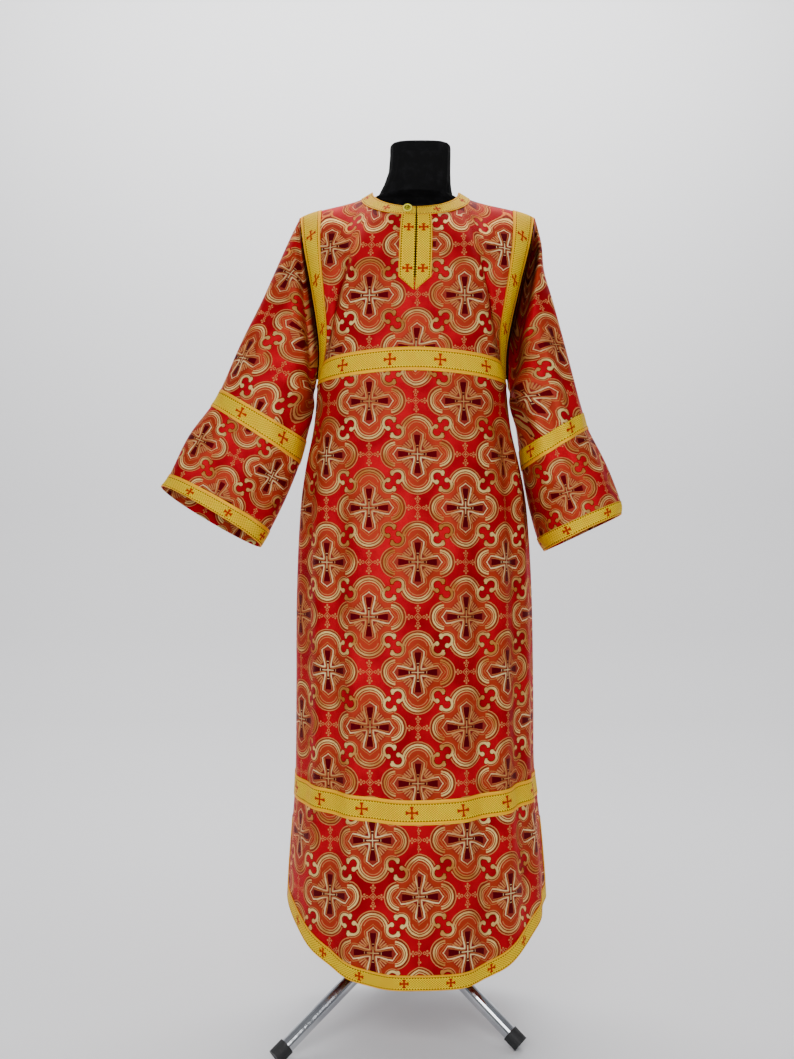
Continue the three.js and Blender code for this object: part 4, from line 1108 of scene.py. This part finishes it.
def galloon_group(name, width, rim, repeat, cross, pitch):
    """The braid's drawing for one width; u runs along the braid and v across it from one edge.

    repeat is from cross to cross, cross is the length of a cross's arm, pitch is from dash to dash.
    """
    tree, place, along, across, end = new_group(name)
    half = width / 2
    off = (across - half).size()
    rim_mask = off.above(half - rim, 0.25)
    rim_groove_shade = off.near(half - rim, 0.45)
    cord = (off - (half - rim / 2)) / (rim / 2)
    rim_height = (cord * cord * -1 + 1).most(0) * rim_mask
    dashes = along.fold(pitch / 2).below(pitch * 0.27, 0.3) * off.near(half - rim - 1.2, 0.85)
    lattice_a = (along + off * 1.15).fold(2.2).below(0.4, 0.25)
    lattice_b = (along - off * 1.15).fold(2.2).below(0.4, 0.25)
    lattice = lattice_a.most(lattice_b) * off.below(half - rim - 2.8, 0.3)
    step = along.fold(repeat / 2)
    spot = join(tree, step, off)
    from_cross = distance(tree, spot, 0, 0)
    reach = step.most(off)
    thin = step.least(off)
    arm_half = reach.ramp(cross * 0.45, cross, 1.5, 3.3)
    arms = (thin - arm_half).below(0, 0.3) * reach.below(cross)
    roundel = from_cross.below(cross * 0.8, 0.8)
    stitches = off.near(half - 1.3, 0.35) * along.fold(1.5).below(1.0, 0.2)
    brown = dashes.most(arms)
    ribs = (along * 6.6).work("SINE")
    fine = (across * 9.5 + ribs * 0.5).work("SINE")
    worn = noise(tree, place, 0.03, 3.0)
    colour = blend(tree, worn.ramp(0.3, 0.7), srgb(255, 222, 0), srgb(255, 208, 0))
    colour = blend(tree, lattice * 0.9, colour, srgb(130, 84, 0))
    colour = blend(tree, roundel * 0.5, colour, srgb(250, 150, 0))
    colour = blend(tree, rim_mask, colour, srgb(255, 184, 0))
    # Painted shade: the valley inside the corded rim is drawn dark brown.
    colour = blend(tree, rim_groove_shade * 0.8, colour, srgb(110, 50, 0))
    colour = blend(tree, dashes, colour, srgb(96, 26, 0))
    colour = blend(tree, arms, colour, srgb(168, 16, 0))
    colour = blend(tree, stitches * 0.8, colour, srgb(255, 222, 90))
    # Painted shade: the troughs between the braid's ribs are drawn darker.
    colour = blend(tree, ribs.ramp(-0.3, -1, 0, 0.22), colour, srgb(140, 76, 4))
    gold = rim_mask * 0.8 + 0.15
    height = rim_height * 0.8 - stitches * 0.3 + brown * 0.16 + lattice * 0.1 + roundel * 0.08
    height = height + ribs * 0.07 + fine * 0.05
    end_group(tree, end, colour, gold, height)
    return tree


wide_group = galloon_group("galloon_wide", WIDE_GALLOON, rim=5.8, repeat=85.0, cross=10.4, pitch=4.8)
narrow_group = galloon_group("galloon_narrow", NARROW_GALLOON, rim=2.2, repeat=76.0, cross=7.4, pitch=4.6)


def galloon_material(name, group, shift):
    """Braid with its drawing slid along by the shift."""
    material, tree, shader = new_material(name)
    node = group_node(tree, group, (shift, 0.0))
    tree.links.new(node.outputs["Color"], shader.inputs["Base Color"])
    gold = Thread(tree, node.outputs["Gold"])
    tree.links.new(gold.ramp(0, 1, 0.3, 0.55, "LINEAR").socket, shader.inputs["Metallic"])
    tree.links.new(gold.ramp(0, 1, 0.52, 0.38, "LINEAR").socket, shader.inputs["Roughness"])
    shader.inputs["Specular IOR Level"].default_value = 0.2
    shader.inputs["Specular Tint"].default_value = (*srgb(255, 190, 60), 1)
    raised(tree, Thread(tree, node.outputs["Height"]), 0.8, shader)
    return material


def strip_uv(points, wrap=False):
    """u along a strip at its middle row, from its first column, and v across from its last row."""
    middle = points[len(points) // 2]
    if wrap:
        middle = np.concatenate([middle, middle[:1]])
    along = np.concatenate([[0], np.cumsum(np.linalg.norm(np.diff(middle, axis=0), axis=1))])
    across = np.concatenate([[0], np.cumsum(np.linalg.norm(np.diff(points, axis=0), axis=2).mean(axis=1))])
    across = across[-1] - across
    return np.stack(np.broadcast_arrays(along[None, :], across[:, None]), axis=2) * MM


def galloon_piece(name, points, normals, material, outward, wrap=False, under=0.0):
    """One length of braid, lying just off the cloth over a grid; under is the cloth above the grid."""
    shape = points.shape[:2]
    low = np.full(shape, under + GALLOON_LIFT)
    high = np.full(shape, under + GALLOON_LIFT + GALLOON)
    piece = cloth_wall(name, points, normals, strip_uv(points, wrap), low, high, wrap=wrap, outward=outward)
    piece.data.materials.append(material)
    return piece


def shift_for(points, at):
    """How far to slide the drawing so that a cross falls on the column nearest a place."""
    middle = points[len(points) // 2]
    along = np.concatenate([[0], np.cumsum(np.linalg.norm(np.diff(middle, axis=0), axis=1))])
    return -along[np.argmin(np.linalg.norm(middle - np.array(at), axis=1))]


# Where one cross of a galloon stands, in millimetres; on the back the nearest column takes it.
CHEST_CROSS = (-2, -160, 1178)
MID_CROSS = (40, -210, 430)
HEM_CROSS = (25, -222, 150)
COLLAR_CROSS = (82, -80, 1451)
SLIT_BRAID_SHARES = np.linspace(0.93, 1, 5)

galloons = {}
for side_name, body in bodies.items():
    outward = body["outward"]
    chest = drawn_in(body["yoke"][BAND_ROW:, MIDDLE_COLUMNS], sides=True)
    chest_normals = body["yoke_normals"][BAND_ROW:, MIDDLE_COLUMNS]
    above = slice(-BAND_HALF_STEPS - 1, None)
    below = slice(1, BAND_HALF_STEPS + 1)
    mid = drawn_in(np.vstack([body["trunk"][above], body["lower"][below]]), sides=True)
    mid_normals = np.vstack([body["trunk_normals"][above], body["lower_normals"][below]])
    hem = drawn_in(body["lower"][-HEM_STEPS - 1:], sides=True)
    hem_normals = body["lower_normals"][-HEM_STEPS - 1:]
    for band, points, normals, group, cross in (("chest", chest, chest_normals, wide_group, CHEST_CROSS),
                                                ("mid", mid, mid_normals, wide_group, MID_CROSS),
                                                ("hem", hem, hem_normals, narrow_group, HEM_CROSS)):
        name = f"galloon_{band}_{side_name}"
        material = galloon_material(name, group, shift_for(points, cross))
        galloons[f"{band}_band_{side_name}"] = galloon_piece(name, points, normals, material, outward)

    # Up each edge of the side slits the same braid runs on to the top of the slit.
    for hand, hand_name in ((-1, "left"), (1, "right")):
        shares = SLIT_BRAID_SHARES if hand > 0 else -SLIT_BRAID_SHARES[::-1]
        angles = shares * math.pi / 2
        slit_top, galloon_top, _ = hem_lines(angles)
        heights = [slit_top + (galloon_top - slit_top) * step / SLIT_STEPS for step in range(SLIT_STEPS + 1)]
        edge = np.array([parted_point(body["side"], angles, z, slit_top) for z in heights])
        turned = edge.transpose(1, 0, 2)[::-hand]
        turned_normals = grid_normals(edge, outward).transpose(1, 0, 2)[::-hand]
        name = f"galloon_slit_{side_name}_{hand_name}"
        material = galloon_material(name, narrow_group, 0.0)
        galloons[f"slit_{side_name}_{hand_name}"] = galloon_piece(name, turned, turned_normals, material,
                                                                  outward * hand)

# Armhole galloons run from the front chest galloon over the shoulder to the back one.
for hand, hand_name in ((-1, "left"), (1, "right")):
    strips = []
    strip_normals = []
    for side_name in ("front", "back"):
        yoke = bodies[side_name]["yoke"][BAND_ROW:]
        yoke_normals = bodies[side_name]["yoke_normals"][BAND_ROW:]
        outer = 0 if hand < 0 else yoke.shape[1] - 1
        columns = [outer - hand * step for step in range(ARM_STEPS + 1)]
        if side_name == "front":
            columns = columns[::-1]
        strips.append(yoke[:, columns])
        strip_normals.append(yoke_normals[:, columns])
    shoulder = strip_normals[0][:, -1] + strip_normals[1][:, 0]
    shoulder = shoulder / np.linalg.norm(shoulder, axis=1, keepdims=True)
    strip = np.concatenate([strips[0], strips[1][:, 1:]], axis=1)
    normals = np.concatenate([strip_normals[0], strip_normals[1][:, 1:]], axis=1)
    normals[:, ARM_STEPS] = shoulder
    for end, beside in ((0, 1), (-1, -2)):
        step = strip[:, beside] - strip[:, end]
        strip[:, end] += step / np.linalg.norm(step, axis=1, keepdims=True) * SEAM_GAP
    name = f"galloon_armhole_{hand_name}"
    material = galloon_material(name, wide_group, shift_for(strip, (NECK_MIDDLE + hand * 150, -110, 1320)))
    galloons[f"armhole_band_{hand_name}"] = galloon_piece(name, strip, normals, material, -hand)

# Collar galloon: flat round the neck, from one edge of the front slit to the other.
front_yoke, back_yoke = bodies["front"]["yoke"], bodies["back"]["yoke"]
front_n, back_n = bodies["front"]["yoke_normals"], bodies["back"]["yoke_normals"]
collar_rows = len(COLLAR_SHARES) + 1
slit_left = ARM_STEPS + CENTRE
last = front_yoke.shape[1] - 1
order = [(front_yoke, front_n, c) for c in range(slit_left + 1, last + 1)]
order += [(back_yoke, back_n, c) for c in range(last - 1, 0, -1)]
order += [(front_yoke, front_n, c) for c in range(0, slit_left + 1)]
collar = np.stack([grid[:collar_rows, c] for grid, _, c in order], axis=1)
collar_normals = np.stack([n[:collar_rows, c] for _, n, c in order], axis=1)
material = galloon_material("galloon_collar", narrow_group, shift_for(collar, COLLAR_CROSS))
galloons["collar_band"] = galloon_piece("galloon_collar", collar, collar_normals, material, 1)

# Placket galloons: one strip each side of the slit, cut to a point below it.
# Below the slit each row keeps a smaller share of the strip's width, down to almost none at the point.
KEPT_AT_SLIT = 0.999
KEPT_LOST = 0.98
PLACKET_START = 0.04
for hand, hand_name in ((-1, "left"), (1, "right")):
    inner = slit_left if hand < 0 else slit_left + 1
    columns = [inner + hand * k for k in range(PLACKET_COLUMNS + 1)]
    rows = [front_yoke[r, columns] for r in range(collar_rows - 1, SLIT_ROW + 1)]
    row_normals = [front_n[r, columns] for r in range(collar_rows - 1, SLIT_ROW + 1)]
    rows[0] = rows[0] + (rows[1] - rows[0]) * PLACKET_START
    for r in range(SLIT_ROW + 1, POINT_ROW + 1):
        kept_share = KEPT_AT_SLIT - KEPT_LOST * (r - SLIT_ROW) / (POINT_ROW - SLIT_ROW)
        known = np.arange(PLACKET_COLUMNS + 1)
        at = known * kept_share
        line, line_n = front_yoke[r, columns], front_n[r, columns]
        rows.append(np.stack([np.interp(at, known, line[:, a]) for a in range(3)], axis=1))
        row_normals.append(np.stack([np.interp(at, known, line_n[:, a]) for a in range(3)], axis=1))
    strip = np.array(rows).transpose(1, 0, 2)
    normals = np.array(row_normals).transpose(1, 0, 2)
    name = f"galloon_placket_{hand_name}"
    cross = (NECK_MIDDLE + hand * 13, -115, 1415 if hand < 0 else 1409)
    material = galloon_material(name, narrow_group, shift_for(strip, cross))
    galloons[f"placket_{hand_name}"] = galloon_piece(name, strip, normals, material, hand)

# Sleeve galloons: a wide one below the elbow and a narrow one at the cuff.
SLEEVE_BANDS = (("sleeve_band", SLEEVE_BAND_ROW, wide_group), ("cuff_band", CUFF_BAND_ROW, narrow_group))
for sleeve_name, sleeve in sleeves.items():
    for band, station, group in SLEEVE_BANDS:
        first, final = sleeve["stations"][station], sleeve["stations"][station + 1]
        points = sleeve["rows"][first:final + 1]
        normals = sleeve["normals"][first:final + 1]
        name = f"galloon_{band}_{sleeve_name}"
        material = galloon_material(name, group, 0.0)
        galloons[f"{band}_{sleeve_name}"] = galloon_piece(name, points, normals, material, -sleeve["hand"],
                                                          wrap=True, under=SLEEVE_WALL)

# Each length takes the place of its solid; the hem galloon's solid also stands for the slit edges.
for name, piece in galloons.items():
    if not name.startswith("slit_"):
        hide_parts(name)
    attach(piece, "root")

# Dress form: a padded torso and its neck cap under a tight cover of matte black knitted jersey.
# It stands on the pole of the stand and carries the garment on its shoulders.
def cover(names, material):
    """Give carried-over solids their material, through their slots."""
    for name in names:
        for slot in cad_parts[name].material_slots:
            slot.material = material


jersey, tree, shader = new_material("black_jersey")
source = tree.nodes.new("ShaderNodeTexCoord")
split = tree.nodes.new("ShaderNodeSeparateXYZ")
tree.links.new(source.outputs["Object"], split.inputs[0])
jersey_x, jersey_y, jersey_z = (Thread(tree, split.outputs[axis]) for axis in range(3))
wales = ((jersey_x + jersey_y) * 3900).work("SINE")
courses = (jersey_z * 4600 + wales * 1.2).work("SINE")
lint = noise(tree, source.outputs["Object"], 60.0, 6.0)
tone = blend(tree, lint.ramp(0.45, 0.8), srgb(9, 9, 10), srgb(24, 24, 26))
# Painted shade: the troughs between the knitted courses are drawn near black.
tree.links.new(blend(tree, courses.ramp(0, -1, 0, 0.4), tone, srgb(3, 3, 3)), shader.inputs["Base Color"])
shader.inputs["Roughness"].default_value = 0.85
shader.inputs["Specular IOR Level"].default_value = 0.12
raised(tree, wales * 0.12 + courses * 0.12, 0.5, shader)
cover(("form_torso", "form_neck_cap"), jersey)

# Stand: a pole, a hub and three legs of chromed steel, with fine rubbed streaks and faint smears.
# The pole goes up into the dress form, and the legs spread from the hub.
chrome, tree, shader = new_material("chrome")
source = tree.nodes.new("ShaderNodeTexCoord")
streaks = noise(tree, source.outputs["Object"], 160.0, 4.0)
smears = noise(tree, source.outputs["Object"], 14.0, 3.0)
tone = blend(tree, smears.ramp(0.4, 0.75), srgb(196, 198, 202), srgb(168, 170, 176))
tree.links.new(tone, shader.inputs["Base Color"])
shader.inputs["Metallic"].default_value = 1.0
dullness = streaks.ramp(0.3, 0.8, 0.07, 0.2) + smears.ramp(0.5, 0.8, 0, 0.1)
tree.links.new(dullness.socket, shader.inputs["Roughness"])
raised(tree, streaks * 0.02, 0.2, shader)
cover(("stand_pole", "stand_hub", "stand_leg_1", "stand_leg_2", "stand_leg_3"), chrome)

# Foot caps: moulded black rubber pushed on the ends of the legs, dull and a little dusty.
# They stand flat on the floor.
rubber, tree, shader = new_material("rubber")
source = tree.nodes.new("ShaderNodeTexCoord")
dust = noise(tree, source.outputs["Object"], 90.0, 5.0)
pits = noise(tree, source.outputs["Object"], 900.0, 2.0)
tone = blend(tree, dust.ramp(0.5, 0.8), srgb(20, 20, 22), srgb(52, 52, 54))
tree.links.new(tone, shader.inputs["Base Color"])
shader.inputs["Roughness"].default_value = 0.62
raised(tree, pits * 0.1, 0.4, shader)
cover(("stand_foot_1", "stand_foot_2", "stand_foot_3"), rubber)

# Button: a small moulded shank button, a bright yellow rim round a greenish sunken middle.
# It is sewn to the collar galloon at the top of the front slit.
button_low, button_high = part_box("button")
button_middle = (button_low + button_high) / 2
button_half = (button_high - button_low) / 2
button_plastic, tree, shader = new_material("button_plastic")
source = tree.nodes.new("ShaderNodeTexCoord")
split = tree.nodes.new("ShaderNodeSeparateXYZ")
tree.links.new(source.outputs["Object"], split.inputs[0])
button_x = (Thread(tree, split.outputs[0]) - button_middle.x) / button_half.x
button_z = (Thread(tree, split.outputs[2]) - button_middle.z) / button_half.z
button_reach = (button_x * button_x + button_z * button_z) ** 0.5
rim = button_reach.above(0.66, 0.05)
groove = button_reach.near(0.62, 0.05, 0.03)
swirl = noise(tree, source.outputs["Object"], 500.0, 3.0)
tone = blend(tree, swirl.ramp(0.4, 0.65), srgb(96, 92, 6), srgb(190, 182, 30))
tone = blend(tree, rim, tone, srgb(236, 226, 70))
# Painted shade: the sunken groove between the rim and the middle is drawn dark.
tree.links.new(blend(tree, groove, tone, srgb(70, 60, 4)), shader.inputs["Base Color"])
shader.inputs["Roughness"].default_value = 0.25
raised(tree, rim * 0.8 - groove * 0.4, 0.8, shader)
cover(("button",), button_plastic)

# The cloth hangs from the form's shoulders. The loops below only gather each sleeve's galloons and seam
# allowances, and do nothing more.
for side_name, body in bodies.items():
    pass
for sleeve_name, sleeve in sleeves.items():
    bands = [galloons[f"sleeve_band_{sleeve_name}"], galloons[f"cuff_band_{sleeve_name}"]]
    bands += [strip for strip in seams if strip.name.endswith(sleeve_name)]

# Floor and wall: one plain pale sheet with a wide bend, and soft light from above and in front.
floor_material, _, floor_shader = new_material("pale_floor")
floor_shader.inputs["Base Color"].default_value = (*srgb(236, 236, 238), 1)
floor_shader.inputs["Roughness"].default_value = 0.85
floor_shader.inputs["Specular IOR Level"].default_value = 0.2
FLOOR_SIDE = 6.0
UNDER_FEET = 0.0002
# The sheet's section, as y and height.
SWEEP = [(-6.0, 0.0), (1.3, 0.0), (1.7, 0.05), (2.0, 0.2), (2.2, 0.5), (2.3, 1.0), (2.3, 6.0)]
mesh = bpy.data.meshes.new("floor")
mesh.from_pydata([(x, y, z - UNDER_FEET) for y, z in SWEEP for x in (-FLOOR_SIDE, FLOOR_SIDE)], [],
                 [(2 * k, 2 * k + 1, 2 * k + 3, 2 * k + 2) for k in range(len(SWEEP) - 1)])
mesh.polygons.foreach_set("use_smooth", [True] * len(mesh.polygons))
mesh.materials.append(floor_material)
floor = bpy.data.objects.new("floor", mesh)
bpy.context.scene.collection.objects.link(floor)

LIGHTS = [
    # name, place, target, width and height, power in watts
    ("key", (-0.3, -2.6, 1.9), (0.0, 0.0, 1.1), (2.2, 1.0), 54),
    ("fill_left", (-2.6, -1.6, 1.5), (0.0, 0.0, 0.9), (1.6, 2.2), 9),
    ("fill_right", (2.7, -1.4, 1.5), (0.0, 0.0, 0.9), (1.6, 2.2), 11),
    ("wall_wash", (0.0, 0.9, 3.4), (0.0, 2.3, 1.3), (3.6, 1.0), 125),
]
for name, place, target, size, power in LIGHTS:
    lamp = bpy.data.lights.new(name, "AREA")
    lamp.shape = "RECTANGLE"
    lamp.size, lamp.size_y = size
    lamp.energy = power
    light = bpy.data.objects.new(name, lamp)
    light.location = place
    light.rotation_euler = (Vector(target) - Vector(place)).to_track_quat("-Z", "Y").to_euler()
    bpy.context.scene.collection.objects.link(light)

world = bpy.context.scene.world or bpy.data.worlds.new("world")
bpy.context.scene.world = world
world.use_nodes = True
world.node_tree.nodes["Background"].inputs["Color"].default_value = (*srgb(236, 238, 242), 1)
world.node_tree.nodes["Background"].inputs["Strength"].default_value = 0.36
